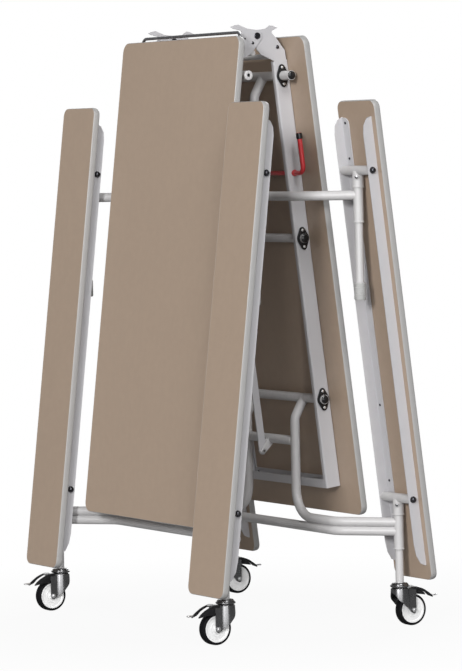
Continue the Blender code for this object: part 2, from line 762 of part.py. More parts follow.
def castor_wheel():
    """A tyred wheel about X, dished on both faces and bored for its axle."""
    half = WHEEL_WIDTH / 2
    bore = running(AXLE_RADIUS, WHEEL_SIDES)
    hub = half + DISC_INSET
    face = half - DISC_INSET
    upper = [
        (bore, hub),
        (HUB_RADIUS, hub),
        (HUB_RADIUS, face),
        (DISC_RADIUS, face),
        (WHEEL_RADIUS - WHEEL_SHOULDER, half),
        (WHEEL_RADIUS, half - WHEEL_SHOULDER),
    ]
    lower = [(radius, -height) for radius, height in reversed(upper)]
    return turned(upper + lower, AXIS_X, WHEEL_SIDES, ring=True)


def brake_pedal():
    """A curved foot lever with a thin tip that reaches back over the wheel, about its own pin."""
    end = PEDAL_REACH + PEDAL_TONGUE
    low = -PEDAL_FALL - PEDAL_TIP
    outline = arc((0.0, 0.0), PEDAL_HUB, PEDAL_HEEL, pi / 2, EYE_STEPS)
    outline += [*PEDAL_CROWN, (PEDAL_REACH, -PEDAL_FALL), (end, -PEDAL_FALL), (end, low), PEDAL_BELLY]
    outline += [(FORK_BACK + PEDAL_CLEAR - PEDAL_PIVOT_BACK, -PEDAL_HUB)]
    return plate([outline, hole((0.0, 0.0), PEDAL_PIN_RADIUS)], 2 * PEDAL_HALF, SIDE_ON)


def build_castors(half, station, names):
    fork, wheel, pedal = castor_fork(), castor_wheel(), brake_pedal()
    for side in (1, -1):
        name = half + "_" + names[side] + "_castor"
        spot = Vector((side * SEAT_X, 0.0, -PIVOT_HEIGHT))
        axle = spot + Vector((0.0, TRAIL, WHEEL_RADIUS))
        pivot = spot + Vector((0.0, PEDAL_PIVOT_BACK, PEDAL_PIVOT_HEIGHT))
        for label, made, finish, place in (
            ("fork", fork, "fork_grey", spot),
            ("wheel", wheel, "tyre_black", axle),
            ("pedal", pedal, "pedal_black", pivot),
        ):
            station.add(name + "_" + label, on_workbench(made.data.copy()), finish, place)
    for spare in (fork, wheel, pedal):
        bpy.data.objects.remove(spare)


# Latch and handle

def latch_lever():
    """A rod through both rails, bent up at its right end into a lever, about its own axis."""
    left = -RAIL_X - PLATE_SHIFT - FLUSH_STUB
    points = [(left, 0.0, 0.0), (LATCH_X, 0.0, 0.0), (LATCH_X, -LATCH_LENGTH, 0.0)]
    return tube(bent(points, (LATCH_BEND,)), LATCH_RADIUS)


def top_handle():
    """A bright bar along the front top's hinge edge, its ends turned in to the rails."""
    right = RAIL_X + GAP
    left = -RAIL_X - PLATE_SHIFT - GAP
    reach = HANDLE_ALONG + HANDLE_LEG
    points = [
        (left, reach, HANDLE_RISE),
        (-HANDLE_X, reach, HANDLE_RISE),
        (-HANDLE_X, HANDLE_ALONG, HANDLE_RISE),
        (HANDLE_X, HANDLE_ALONG, HANDLE_RISE),
        (HANDLE_X, reach, HANDLE_RISE),
        (right, reach, HANDLE_RISE),
    ]
    bends = (HANDLE_BEND,) * 4
    return tube(bent(points, bends), HANDLE_RADIUS, ROD_STEPS)


# Whole assembly

def build_half(half, root, names, fold_drawn_at, fold_at, lug_shape):
    """Build one half of the table under root, its top turning about fold_at."""
    top = Station(half + "_top_axis", root, fold_at, -FOLD, fold_drawn_at)
    build_top(half, top, names, lug_shape)
    castor_frame = Station(half + "_castor_frame_axis", root, FAR_BEARING)
    flush = RAIL_X + FLUSH_STUB
    low = tubular_frame(-flush - PLATE_SHIFT, flush, True)
    castor_frame.add(half + "_castor_frame", low, "powder_coat")
    leg_frame = Station(half + "_leg_frame_axis", root, NEAR_BEARING)
    leg_frame.add(half + "_leg_frame", tubular_frame(-LONG_STUB, SHORT_STUB, False), "powder_coat")
    link = Station(half + "_link_axis", root, FAR_LINK_PIN, -FOLD)
    link.add(half + "_link_bar", link_bar(), "rail_coat")
    for side in (1, -1):
        spot = Vector((side * SEAT_X, CRANK_REACH, -CRANK_DROP))
        castor_frame.add(half + "_" + names[side] + "_castor_post", castor_post(), "powder_coat", spot)
        leg_frame.add(half + "_" + names[side] + "_leg_post", leg_post(), "powder_coat", spot)
        seat = Station(half + "_" + names[side] + "_seat_axis", root, FAR_SEAT_PIVOT, -FOLD)
        build_seat(half + "_" + names[side], seat, side)
    castors = Station(half + "_castors", root, FAR_SEAT_PIVOT)
    build_castors(half, castors, names)
    return top


def main():
    clear_scene()
    for name in ("folding_table", "workbench", "axes"):
        collection(name)
    make_finishes()
    rear_root = Station("rear_half", None, (0, 0, 0)).empty
    front_root = Station("front_half", None, (0, 0, 0)).empty
    front_root.rotation_euler = (0.0, 0.0, pi)
    far_drawn = (0.0, FAR_BEARING_ALONG, BEARING_RISE)
    rear_names = {1: "right", -1: "left"}
    front_names = {1: "left", -1: "right"}
    rear_top = build_half("rear", rear_root, rear_names, far_drawn, FAR_BEARING, (0.0, 0.0))
    front_lug = (FRONT_HORN_EXTRA, FRONT_BELLY_RISE)
    front_top = build_half("front", front_root, front_names, (0, 0, 0), HINGE, front_lug)
    rear_top.add("hinge_pin_right", hinge_pin(1), "steel")
    rear_top.add("hinge_pin_left", hinge_pin(-1), "steel")
    rear_top.add("latch_lever", latch_lever(), "latch_red", (0.0, LATCH_ALONG, BEARING_RISE))
    front_top.add("top_handle", top_handle(), "chrome")
    bpy.context.view_layer.update()


main()
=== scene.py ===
"""Finish and detail of the folding canteen table with benches, folded up on its castors.

Metres, +Z up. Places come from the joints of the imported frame, and each piece is drawn the way
its half is drawn: laid flat for tops and seats, upright for frames and castors, then put in place.
"""

import json
from math import acos, cos, pi, radians, sin, tan

import bmesh
import bpy
from bpy.props import FloatProperty, FloatVectorProperty, PointerProperty
from bpy.types import Operator, Panel, PropertyGroup
from mathutils import Matrix, Vector


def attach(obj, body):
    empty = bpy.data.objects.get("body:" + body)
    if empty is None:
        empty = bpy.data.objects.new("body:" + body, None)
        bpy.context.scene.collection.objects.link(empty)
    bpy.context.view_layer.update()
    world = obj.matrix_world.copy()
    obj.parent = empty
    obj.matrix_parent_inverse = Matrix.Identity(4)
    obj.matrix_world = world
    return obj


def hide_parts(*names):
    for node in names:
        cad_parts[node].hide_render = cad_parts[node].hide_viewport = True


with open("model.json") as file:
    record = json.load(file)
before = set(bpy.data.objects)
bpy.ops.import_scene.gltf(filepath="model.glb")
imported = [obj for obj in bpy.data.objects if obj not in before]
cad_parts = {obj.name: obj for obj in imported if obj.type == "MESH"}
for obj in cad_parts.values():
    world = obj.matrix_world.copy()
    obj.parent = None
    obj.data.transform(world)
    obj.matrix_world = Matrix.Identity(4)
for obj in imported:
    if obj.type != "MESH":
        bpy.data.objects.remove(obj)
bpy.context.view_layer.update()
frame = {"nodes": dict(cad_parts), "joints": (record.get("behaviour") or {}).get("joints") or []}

bl_info = {
    "name": "Folding canteen table",
    "version": (1, 0, 0),
    "blender": (4, 5, 0),
    "location": "View3D > Sidebar > Canteen table",
    "description": "Dresses the frame of a folding canteen table with finished pieces",
    "category": "Object",
}

# Where the halves and their pivots are
JOINTS = {joint["name"]: joint for joint in frame["joints"]}
PIVOT = {name: Vector(joint["pos_m"]) for name, joint in JOINTS.items()}
HALVES = ("rear", "front")
ROOT = {"rear": Matrix(), "front": Matrix.Rotation(pi, 4, "Z")}
SIDE_NAMES = {"rear": {1: "right", -1: "left"}, "front": {1: "left", -1: "right"}}
TURNED_UP = Matrix.Rotation(-radians(JOINTS["fold"]["range_deg"][1]), 4, "X")
LAID_FLAT = TURNED_UP.inverted()
HINGE = PIVOT["centre_hinge"]
SEAT_PIVOT = PIVOT["rear_right_seat_pivot"]
FAR_BEARING = PIVOT["fold"]
NEAR_BEARING = PIVOT["rear_leg_pivot"]
CRANK = SEAT_PIVOT - FAR_BEARING
LINK_PIN = PIVOT["rear_link_pivot"] - FAR_BEARING
BEARING_FAR = LAID_FLAT @ (FAR_BEARING - HINGE)
BEARING_NEAR = LAID_FLAT @ (NEAR_BEARING - HINGE)
BEARING_MID = (BEARING_FAR + BEARING_NEAR) / 2
LATCH_AT = LAID_FLAT @ (PIVOT["latch_turn"] - HINGE)
SEAT_X = SEAT_PIVOT.x
SWIVEL = PIVOT["rear_right_swivel"]
AXLE_HEIGHT = PIVOT["rear_right_roll"].z
TRAIL = PIVOT["rear_right_roll"].y - SWIVEL.y
PEDAL_HEIGHT = PIVOT["rear_right_brake_press"].z
PEDAL_BACK = PIVOT["rear_right_brake_press"].y - SWIVEL.y

# The quarters of the table by half, side and name, and a half's frames by kind, bearing and body
QUARTERS = [(half, side, half + "_" + label) for half in HALVES for side, label in SIDE_NAMES[half].items()]
FRAMES = (("castor", FAR_BEARING, "_base"), ("leg", NEAR_BEARING, "_legs"))

# Turns from a drawing lying on XY
ALONG_X = Matrix.Rotation(pi / 2, 4, "Y")
SIDE_ON = Matrix(((0, 0, 1, 0), (1, 0, 0, 0), (0, 1, 0, 0), (0, 0, 0, 1)))
UPSIDE_DOWN = Matrix.Rotation(pi, 4, "X")

# Smoothness of round shapes
TUBE_SIDES = 24
ROD_SIDES = 16
BEAD_SIDES = 6
BEND_STEPS = 8
CORNER_STEPS = 10
NOSE_STEPS = 10
EAR_STEPS = 6
DOME_STEPS = 5
TURN_STEPS = 32
WHEEL_STEPS = 64
BOLT_STEPS = 16
SMOOTH_BELOW = radians(38)
MERGE = 0.000005


# Sizes and colours

def size(label, default):
    note = label + ", in metres"
    return FloatProperty(name=label, description=note, default=default, min=0.0, unit="LENGTH")


def colour(label, tone):
    limits = {"min": 0.0, "max": 1.0}
    note = label + ", before wear"
    return FloatVectorProperty(name=label, description=note, default=tone, subtype="COLOR", **limits)


class TubeSizes(PropertyGroup):
    """Sizes of the tubular frames and posts."""

    radius: size("Radius of the frame tubes", 0.015)
    short_stub: size("Leg frame's bearing tube, short side", 0.318)
    long_stub: size("Leg frame's bearing tube, long side", 0.362)
    upright_x: size("Upright from the middle", 0.148)
    upright_back: size("Upright back from its bearing", 0.036)
    knee_drop: size("Knee under its bearing", 0.063)
    cross_drop: size("Cross tube under its bearing", 0.137)
    run_drop: size("Upper run under the seat pivot", 0.077)
    run_pitch: size("Pitch of a castor frame's runs", 0.0285)
    run_bend_x: size("Bend of a run from the middle", 0.385)
    knee_bend: size("Bend radius of the knee", 0.040)
    foot_bend: size("Bend radius of an upright's foot", 0.085)
    run_bend: size("Bend radius of a run", 0.070)
    bead: size("Radius of a weld bead", 0.0016)
    sleeve: size("Radius of a post's sleeve", 0.0157)
    socket: size("Radius of a post's socket", 0.018)
    socket_end: size("Depth of the socket's lower rim", 0.054)
    sleeve_end: size("Depth of the sleeve's lower rim", 0.163)
    stem: size("Radius of a post's lower stem", 0.0129)
    rim: size("Rise of a socket's rim", 0.0012)
    foot: size("Length of a leg's floor glide", 0.054)
    foot_radius: size("Radius of a leg's floor glide", 0.0190)


class TopSizes(PropertyGroup):
    """Sizes of the boards, rails and bearings."""

    board_corner: size("Corner radius of a table top", 0.028)
    seat_corner: size("Corner radius of a seat", 0.022)
    lap: size("Lap of a board over its edge strip", 0.0022)
    trim: size("Trim of a top at its hinge edge", 0.004)
    rail_face: size("Nearer rail's face from the middle", 0.262)
    rail_step: size("Step out to the other rail", 0.0043)
    stub: size("Stub of a tube outside its rail", 0.0130)
    flange_ear: size("Flange screw from the centre", 0.0265)
    flange_radius: size("Radius of a bearing flange at its middle", 0.0215)
    flange_tip: size("Radius of a bearing flange at its screws", 0.0100)
    flange_thick: size("Thickness of a bearing flange", 0.0055)


class CastorSizes(PropertyGroup):
    """Sizes of the castors."""

    wheel_half: size("Half the width of a wheel", 0.016)
    disc: size("Radius of the pale wheel disc", 0.0420)
    hub: size("Radius of the wheel hub", 0.012)
    fork_half: size("Fork leg's face from the middle", 0.0207)
    fork_wall: size("Thickness of the fork's wall", 0.0028)
    fork_round: size("Radius of the fork under its roof", 0.0288)
    fork_roof: size("Height of the fork's roof", 0.1215)
    head: size("Radius of the swivel head", 0.027)
    pedal_half: size("Half the width of the brake pedal", 0.0250)


class Finishes(PropertyGroup):
    """Colours of the finishes."""

    laminate: colour("Beige of the boards", (0.363, 0.276, 0.209))
    strip: colour("Grey of the edge strips", (0.34, 0.335, 0.33))
    tube_paint: colour("Grey of the frame tubes", (0.505, 0.497, 0.499))
    rail_paint: colour("Grey of rails and angles", (0.470, 0.464, 0.480))
    bolt: colour("Zinc of bolts and nuts", (0.80, 0.80, 0.81))
    dark_bolt: colour("Blackened steel of hinge and seat bolts", (0.085, 0.085, 0.095))
    fork: colour("Dark plating of the forks", (0.21, 0.21, 0.215))
    rubber: colour("Black of the tyres", (0.006, 0.006, 0.007))
    disc: colour("Pale grey of the wheel discs", (0.75, 0.75, 0.75))
    plastic: colour("Black of bearings, plugs and pedals", (0.009, 0.009, 0.010))
    glide: colour("Grey of the floor glides", (0.36, 0.36, 0.355))
    latch: colour("Red of the latch lever", (0.50, 0.030, 0.035))
    chrome: colour("Bright plating of the handle", (0.42, 0.42, 0.44))
    floor: colour("Pale studio floor", (0.27, 0.27, 0.27))


# Shader sums

def fill(node, values):
    """Give a node's sockets their values, by links or outright."""
    for key, value in values.items():
        if isinstance(value, Socket):
            value.tree.links.new(value.socket, node.inputs[key])
        else:
            node.inputs[key].default_value = value


class Socket:
    """A shader socket that takes part in sums, so that a formula reads as one."""

    def __init__(self, tree, socket):
        self.tree = tree
        self.socket = socket

    def node(self, kind, settings, values, out=0):
        """Add a node of this kind, set it up, fill its sockets and return one of its outputs."""
        made = self.tree.nodes.new("ShaderNode" + kind)
        for key, value in settings.items():
            setattr(made, key, value)
        fill(made, values)
        return Socket(self.tree, made.outputs[out])

    def sum(self, operation, first, second):
        return self.node("Math", {"operation": operation}, {0: first, 1: second})

    def __add__(self, other):
        return self.sum("ADD", self, other)

    def __sub__(self, other):
        return self.sum("SUBTRACT", self, other)

    def __rsub__(self, other):
        return self.sum("SUBTRACT", other, self)

    def __mul__(self, other):
        return self.sum("MULTIPLY", self, other)

    __radd__ = __add__
    __rmul__ = __mul__

    def stretched(self, scale):
        return self.node("VectorMath", {"operation": "MULTIPLY"}, {0: self, 1: scale})

    def noise(self, scale, detail=2.0):
        return self.node("TexNoise", {}, {"Vector": self, "Scale": scale, "Detail": detail}, "Fac")

    def between(self, low, high):
        """This value spread from 0 at low to 1 at high, and held there."""
        values = {"Value": self, "From Min": low, "From Max": high}
        return self.node("MapRange", {"clamp": True}, values)

    def blend(self, first, second):
        """A colour between two, this value being the share of the second."""
        settings = {"data_type": "RGBA", "clamp_factor": True}
        return self.node("Mix", settings, {0: self, 6: first, 7: second}, 2)

    def bump(self, strength, depth):
        return self.node("Bump", {}, {"Height": self, "Strength": strength, "Distance": depth})


def shade(tone, factor):
    return (*(min(1.0, part * factor) for part in tone), 1.0)


def new_finish(name):
    """An empty finish: its material, its shader and the place on the object."""
    made = bpy.data.materials.new(name)
    made.use_nodes = True
    shader = made.node_tree.nodes["Principled BSDF"]
    plain = Socket(made.node_tree, shader.outputs[0])
    return made, shader, plain.node("TexCoord", {}, {}, "Object")


def worn_edges(place, scale):
    """A mask of the outer edges, broken up so that the wear is patchy."""
    ridge = place.node("NewGeometry", {}, {}, "Pointiness").between(0.53, 0.62)
    return ridge * place.noise(scale, 4.0).between(0.42, 0.62)


def painted(name, tone, roughness, coat=0.0, drift=0.05, peel=0.05):
    """Sprayed paint: slow drift of tone, fine speckle, orange peel and edges rubbed paler."""
    made, shader, place = new_finish(name)
    slow = place.noise(5.0, 3.0)
    fine = place.noise(850.0, 1.0)
    body = (slow * 0.7 + fine * 0.3).blend(shade(tone, 1.0 - drift), shade(tone, 1.0 + drift))
    fill(shader, {
        "Base Color": (worn_edges(place, 60.0) * 0.35).blend(body, shade(tone, 1.18)),
        "Roughness": slow * 0.10 + (roughness - 0.05),
        "Normal": (place.noise(420.0, 2.0) + fine * 0.4).bump(peel, 0.0004),
        "Coat Weight": coat,
        "Coat Roughness": 0.12,
    })
    return made


def laminate(name, tone):
    """Pressed laminate: near plain, with faint streaks along the board and a pebbled face."""
    made, shader, place = new_finish(name)
    streak = place.stretched((26.0, 26.0, 1.6)).noise(2.2, 6.0)
    cloud = place.noise(2.3, 3.0)
    fleck = place.noise(1100.0, 2.0)
    share = streak * 0.55 + cloud * 0.25 + fleck * 0.20
    body = share.between(0.30, 0.70).blend(shade(tone, 0.97), shade(tone, 1.03))
    fill(shader, {
        "Base Color": (worn_edges(place, 40.0) * 0.3).blend(body, shade(tone, 1.12)),
        "Roughness": streak * 0.12 + 0.38,
        "Normal": (fleck + streak * 0.5).bump(0.06, 0.0003),
    })
    return made


def moulded(name, tone, roughness, grain=900.0, peel=0.10, gloss=0.5):
    """Moulded plastic or rubber: fine grain, dusty patches and scuffed edges."""
    made, shader, place = new_finish(name)
    dust = place.noise(38.0, 5.0)
    fine = place.noise(grain, 2.0)
    body = (dust * 0.8 + fine * 0.2).blend(shade(tone, 0.80), shade(tone, 1.25))
    fill(shader, {
        "Base Color": (worn_edges(place, 120.0) * 0.5).blend(body, shade(tone, 1.8)),
        "Roughness": dust * 0.16 + (roughness - 0.08),
        "Normal": fine.bump(peel, 0.0003),
        "Specular IOR Level": gloss,
    })
    return made


def plated(name, tone, roughness, grain=0.04):
    """Plated steel: fine draw lines, cloudy gloss and a little tarnish."""
    made, shader, place = new_finish(name)
    drawn = place.stretched((0.08, 1.0, 1.0)).noise(240.0, 3.0)
    cloud = place.noise(30.0, 4.0)
    fill(shader, {
        "Base Color": (cloud * 0.6 + drawn * 0.4).blend(shade(tone, 0.86), shade(tone, 1.08)),
        "Roughness": (cloud * 2.5 + drawn * 1.5 - 2.0) * grain + roughness,
        "Normal": drawn.bump(grain, 0.0002),
        "Metallic": 1.0,
    })
    return made


# Each finish: its slot, the name and maker of its material, and the maker's settings
FINISHES = {
    "laminate": ("laminate", "beige_laminate", laminate, {}),
    "strip": ("edge_band", "edge_strip", painted, {"roughness": 0.40, "drift": 0.04, "peel": 0.03}),
    "tube_paint": ("powder_coat", "tube_paint", painted, {"roughness": 0.36, "coat": 0.15}),
    "rail_paint": ("rail_coat", "rail_paint", painted, {"roughness": 0.36, "coat": 0.15}),
    "bolt": ("steel", "bolt_zinc", plated, {"roughness": 0.36}),
    "dark_bolt": ("steel", "dark_bolt", plated, {"roughness": 0.22}),
    "fork": ("fork_grey", "fork_steel", plated, {"roughness": 0.27, "grain": 0.012}),
    "rubber": ("tyre", "tyre_rubber", moulded, {"roughness": 0.62, "gloss": 0.08}),
    "disc": ("tyre", "wheel_disc", moulded, {"roughness": 0.42, "grain": 700.0, "peel": 0.04}),
    "plastic": ("pedal", "black_plastic", moulded, {"roughness": 0.18, "gloss": 0.45}),
    "glide": ("powder_coat", "grey_glide", moulded, {"roughness": 0.50, "grain": 500.0}),
    "latch": ("latch_red", "latch_red", painted, {"roughness": 0.34, "coat": 0.25, "drift": 0.10}),
    "chrome": ("chrome", "bright_chrome", plated, {"roughness": 0.14}),
}
made_finishes = {}


def finish_named(finish):
    """The material of a finish, made the first time it is asked for."""
    if finish not in made_finishes:
        name, maker, settings = FINISHES[finish][1:]
        made_finishes[finish] = maker(name, getattr(bpy.context.scene.table_finishes, finish), **settings)
    return made_finishes[finish]


# Outlines and paths

def arc(centre, radius, start, end, steps):
    turns = [start + (end - start) * i / steps for i in range(steps + 1)]
    return [(centre[0] + radius * cos(turn), centre[1] + radius * sin(turn)) for turn in turns]


def rounded_rectangle(low, high, radius, steps=CORNER_STEPS):
    left, right = low[0] + radius, high[0] - radius
    front, back = low[1] + radius, high[1] - radius
    points = []
    for quarter, centre in enumerate(((right, back), (left, back), (left, front), (right, front))):
        points += arc(centre, radius, quarter * pi / 2, (quarter + 1) * pi / 2, steps)
    return points


def two_eared(middle, ear, reach, steps=EAR_STEPS):
    """A flange outline: a round middle drawn out to an ear each way along the first axis."""
    lean = acos((middle - ear) / reach)
    points = arc((reach, 0.0), ear, -lean, lean, steps)
    points += arc((0.0, 0.0), middle, lean, pi - lean, steps)
    points += arc((-reach, 0.0), ear, pi - lean, pi + lean, steps)
    return points + arc((0.0, 0.0), middle, pi + lean, 2 * pi - lean, steps)


def bent(points, radii, steps=BEND_STEPS):
    """A path through points whose inner corners are rounded, one radius for each."""
    path = [Vector(points[0])]
    for before, corner, after, radius in zip(points, points[1:], points[2:], radii):
        corner = Vector(corner)
        back = (Vector(before) - corner).normalized()
        onward = (Vector(after) - corner).normalized()
        opening = back.angle(onward)
        centre = corner + (back + onward).normalized() * radius / sin(opening / 2)
        start = corner + back * radius / tan(opening / 2) - centre
        finish = corner + onward * radius / tan(opening / 2) - centre
        sweep = start.angle(finish)
        for i in range(steps + 1):
            share = i / steps
            spoke = start * sin((1 - share) * sweep) + finish * sin(share * sweep)
            path.append(centre + spoke / sin(sweep))
    path.append(Vector(points[-1]))
    return path


def polygon(centre, radius, sides):
    return arc(centre, radius, 0.0, 2 * pi * (1 - 1 / sides), sides - 1)


def mirrored(profile):
    """A profile of radius and height, carried on as far below."""
    return profile + [(radius, -height) for radius, height in reversed(profile)]


def stepped(steps, radius, height):
    """Profile points by their steps from a radius and height."""
    return [(radius + out, height + up) for out, up in steps]


def eased_top(radius, height, chamfer):
    """The start of a profile: flat out from the middle, then sloped over to its side."""
    return [(0.0, height), (radius - chamfer, height), (radius, height - chamfer)]


# Shapes, each a mesh in the drawing's own axes

def turn_faces_out(shape):
    bmesh.ops.recalc_face_normals(shape, faces=shape.faces)


def corners(made):
    """The vertices among the parts that a mesh operator has made."""
    return [part for part in made if isinstance(part, bmesh.types.BMVert)]


def turned(profile, place=Matrix(), steps=TURN_STEPS, ring=False):
    """A shape spun about Z from a profile of radius and height."""
    shape = bmesh.new()
    knots = [shape.verts.new((radius, 0.0, height)) for radius, height in profile]
    line = [shape.edges.new(pair) for pair in zip(knots, knots[1:])]
    if ring:
        line.append(shape.edges.new((knots[-1], knots[0])))
    bmesh.ops.spin(
        shape, geom=knots + line, cent=(0, 0, 0), axis=(0, 0, 1), steps=steps, angle=2 * pi, use_merge=True
    )
    bmesh.ops.remove_doubles(shape, verts=shape.verts, dist=MERGE)
    bmesh.ops.dissolve_degenerate(shape, edges=shape.edges, dist=MERGE)
    turn_faces_out(shape)
    bmesh.ops.transform(shape, matrix=place, verts=shape.verts)
    return shape


def ring_bead(radius, bead, place):
    """A weld bead round a joint."""
    return turned(polygon((radius, 0.0), bead, BEAD_SIDES), place, TUBE_SIDES, ring=True)


def swept(path, radius, sides=TUBE_SIDES):
    """A round tube drawn along a path, its section kept square to the path."""
    shape = bmesh.new()
    headings = [(b - a).normalized() for a, b in zip(path, path[1:])]
    tangents = [headings[0]]
    tangents += [(a + b).normalized() for a, b in zip(headings, headings[1:])]
    tangents.append(headings[-1])
    turn = tangents[0].to_track_quat("Z", "Y")
    spot = shift(*path[0]) @ turn.to_matrix().to_4x4()
    bmesh.ops.create_circle(shape, cap_ends=True, segments=sides, radius=radius, matrix=spot)
    face = shape.faces[:][0]
    for before, after, point in zip(tangents, tangents[1:], path[1:]):
        turn = before.rotation_difference(after) @ turn
        onward = shift(*point) @ turn.to_matrix().to_4x4()
        made = bmesh.ops.extrude_face_region(shape, geom=[face])["geom"]
        face = next(part for part in made if isinstance(part, bmesh.types.BMFace))
        bmesh.ops.transform(shape, matrix=onward @ spot.inverted(), verts=corners(made))
        spot = onward
    turn_faces_out(shape)
    return shape


def plate(outline, thickness, place=Matrix(), edge=0.0):
    """A flat piece cut to an outline on XY, centred on it, with its edges eased."""
    shape = bmesh.new()
    face = shape.faces.new([shape.verts.new((x, y, -thickness / 2)) for x, y in outline])
    made = bmesh.ops.extrude_face_region(shape, geom=[face])["geom"]
    bmesh.ops.translate(shape, vec=(0, 0, thickness), verts=corners(made))
    turn_faces_out(shape)
    if edge:
        rims = [e for e in shape.edges if abs(e.verts[0].co.z - e.verts[1].co.z) < MERGE]
        ease(shape, rims, edge)
    bmesh.ops.transform(shape, matrix=place, verts=shape.verts)
    return shape


def ease(shape, edges, width, segments=2):
    bmesh.ops.bevel(
        shape, geom=edges, offset=width, segments=segments, profile=0.5, affect="EDGES", material=-1
    )


def prism(place, sides, radius, height, edge):
    """A nut with flat sides, standing on XY."""
    return plate(polygon((0.0, 0.0), radius, sides), height, place @ shift(0, 0, height / 2), edge)


def dome(place, radius, height, flat=0.35, steps=BOLT_STEPS):
    """A round bolt head standing on XY."""
    curve = arc((0.0, 0.0), 1.0, 0.0, pi / 2, DOME_STEPS)
    profile = [(radius, 0.0)]
    profile += [(radius * x, height * (flat + (1 - flat) * y)) for x, y in curve[:-1]]
    return turned(profile + [(0.0, height), (0.0, 0.0)], place, steps, ring=True)


def collar(place, inner, outer, top, height, steps=TURN_STEPS):
    """A ring standing on XY, its side leaning in from its outer radius to its top's."""
    profile = [(inner, 0.0), (outer, 0.0), (top, height), (inner, height)]
    return turned(profile, place, steps, ring=True)


def straight_tube(left, right, y, z, radius):
    return swept([Vector((left, y, z)), Vector((right, y, z))], radius)


# Placing finished pieces

def shift(x, y, z):
    return Matrix.Translation((x, y, z))


def top_place(half):
    return ROOT[half] @ shift(*HINGE) @ TURNED_UP


def seat_place(half):
    return ROOT[half] @ shift(0.0, SEAT_PIVOT.y, SEAT_PIVOT.z) @ TURNED_UP


def frame_place(half, bearing):
    return ROOT[half] @ shift(*bearing)


def posts():
    """Each post's side, name and body, and the place where a seat's axle crosses it."""
    for half, side, quarter in QUARTERS:
        for kind, bearing, body in FRAMES:
            spot = bearing + Vector((side * SEAT_X, CRANK.y, CRANK.z))
            yield side, quarter + "_" + kind, half + body, frame_place(half, spot)


def outward(side, x, along=0.0, rise=0.0):
    """A place on a face that looks out along X, its first axis along the top."""
    turn = Matrix(((0, 0, side, 0), (1, 0, 0, 0), (0, side, 0, 0), (0, 0, 0, 1)))
    return shift(side * x, along, rise) @ turn


def rail_faces(tops):
    """The outer face of each rail in its half's drawing, by the side it stands on."""
    return {1: tops.rail_face, -1: tops.rail_face + tops.rail_step}


def tube_ends(tops):
    """How far a flush tube reaches out through each rail."""
    return {side: face + tops.stub for side, face in rail_faces(tops).items()}


def drawn_box(node, place):
    """The box of a CAD node in its half's drawing."""
    back = place.inverted()
    points = [back @ vertex.co for vertex in frame["nodes"][node].data.vertices]
    low = Vector(min(point[i] for point in points) for i in range(3))
    return low, Vector(max(point[i] for point in points) for i in range(3))


def add_piece(name, shapes, place, body, finish, replaced=()):
    """Join shapes into one finished piece, put it in place and let it ride its body."""
    mesh = bpy.data.meshes.new(name)
    joined = bmesh.new()
    for shape in shapes:
        shape.to_mesh(mesh)
        shape.free()
        joined.from_mesh(mesh)
    bmesh.ops.transform(joined, matrix=place, verts=joined.verts)
    joined.to_mesh(mesh)
    joined.free()
    mesh.shade_smooth()
    mesh.set_sharp_from_angle(angle=SMOOTH_BELOW)
    made = bpy.data.objects.new(name, mesh)
    bpy.context.scene.collection.objects.link(made)
    mesh.materials.append(finish_named(finish))
    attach(made, body)
    if replaced:
        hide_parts(*replaced)
    return made


# Frames, with the ears that hold a link bar's pin

EAR_X = 0.0056
EAR_THICK = 0.004
EAR_ROOT = 0.0135
EAR_TIP = 0.009
EAR_EDGE = 0.0006
UPRIGHT_WELD = 0.80
CROSS_WELD = 0.85


def upright_path(tubes, side):
    x = side * tubes.upright_x
    back = -tubes.upright_back
    drop = CRANK.z - tubes.run_drop
    points = [
        (x, 0.0, 0.0),
        (x, back, -tubes.knee_drop),
        (x, back, drop),
        (side * tubes.run_bend_x, back, drop),
        (side * SEAT_X, CRANK.y, drop),
    ]
    return bent(points, (tubes.knee_bend, tubes.foot_bend, tubes.run_bend))


def low_run_path(tubes):
    drop = CRANK.z - tubes.run_drop - tubes.run_pitch
    right = [(tubes.run_bend_x, -tubes.upright_back, drop), (SEAT_X, CRANK.y, drop)]
    left = [(-x, y, z) for x, y, z in reversed(right)]
    return bent(left + right, (tubes.run_bend, tubes.run_bend))


def bracket(tubes):
    """The two ears on a cross tube that hold a link bar's pin."""
    near = Vector((-tubes.upright_back, -tubes.cross_drop))
    ahead = (LINK_PIN.yz - near).normalized()
    across = Vector((-ahead.y, ahead.x))
    tip = LINK_PIN.yz + ahead * EAR_TIP
    edge = [near + across * EAR_ROOT, tip + across * EAR_TIP]
    edge += [tip - across * EAR_TIP, near - across * EAR_ROOT]
    return [plate(edge, EAR_THICK, shift(x, 0, 0) @ SIDE_ON, EAR_EDGE) for x in (EAR_X, -EAR_X)]


def frame_shapes(tubes, left, right, with_low_run):
    """The tubes of a frame and their weld beads, drawn from its bearing."""
    radius = tubes.radius
    across = tubes.upright_x
    cross = (-tubes.upright_back, -tubes.cross_drop)
    shapes = [straight_tube(left, right, 0.0, 0.0, radius), straight_tube(-across, across, *cross, radius)]
    for side in (-1, 1):
        path = upright_path(tubes, side)
        shapes.append(swept(path, radius))
        heading = (path[1] - path[0]).normalized()
        weld = shift(*(path[0] + heading * radius * UPRIGHT_WELD))
        weld @= heading.to_track_quat("Z", "Y").to_matrix().to_4x4()
        shapes.append(ring_bead(radius, tubes.bead, weld))
        weld = shift(side * (across - radius * CROSS_WELD), *cross) @ ALONG_X
        shapes.append(ring_bead(radius, tubes.bead, weld))
    if with_low_run:
        shapes.append(swept(low_run_path(tubes), radius))
    return shapes + bracket(tubes)


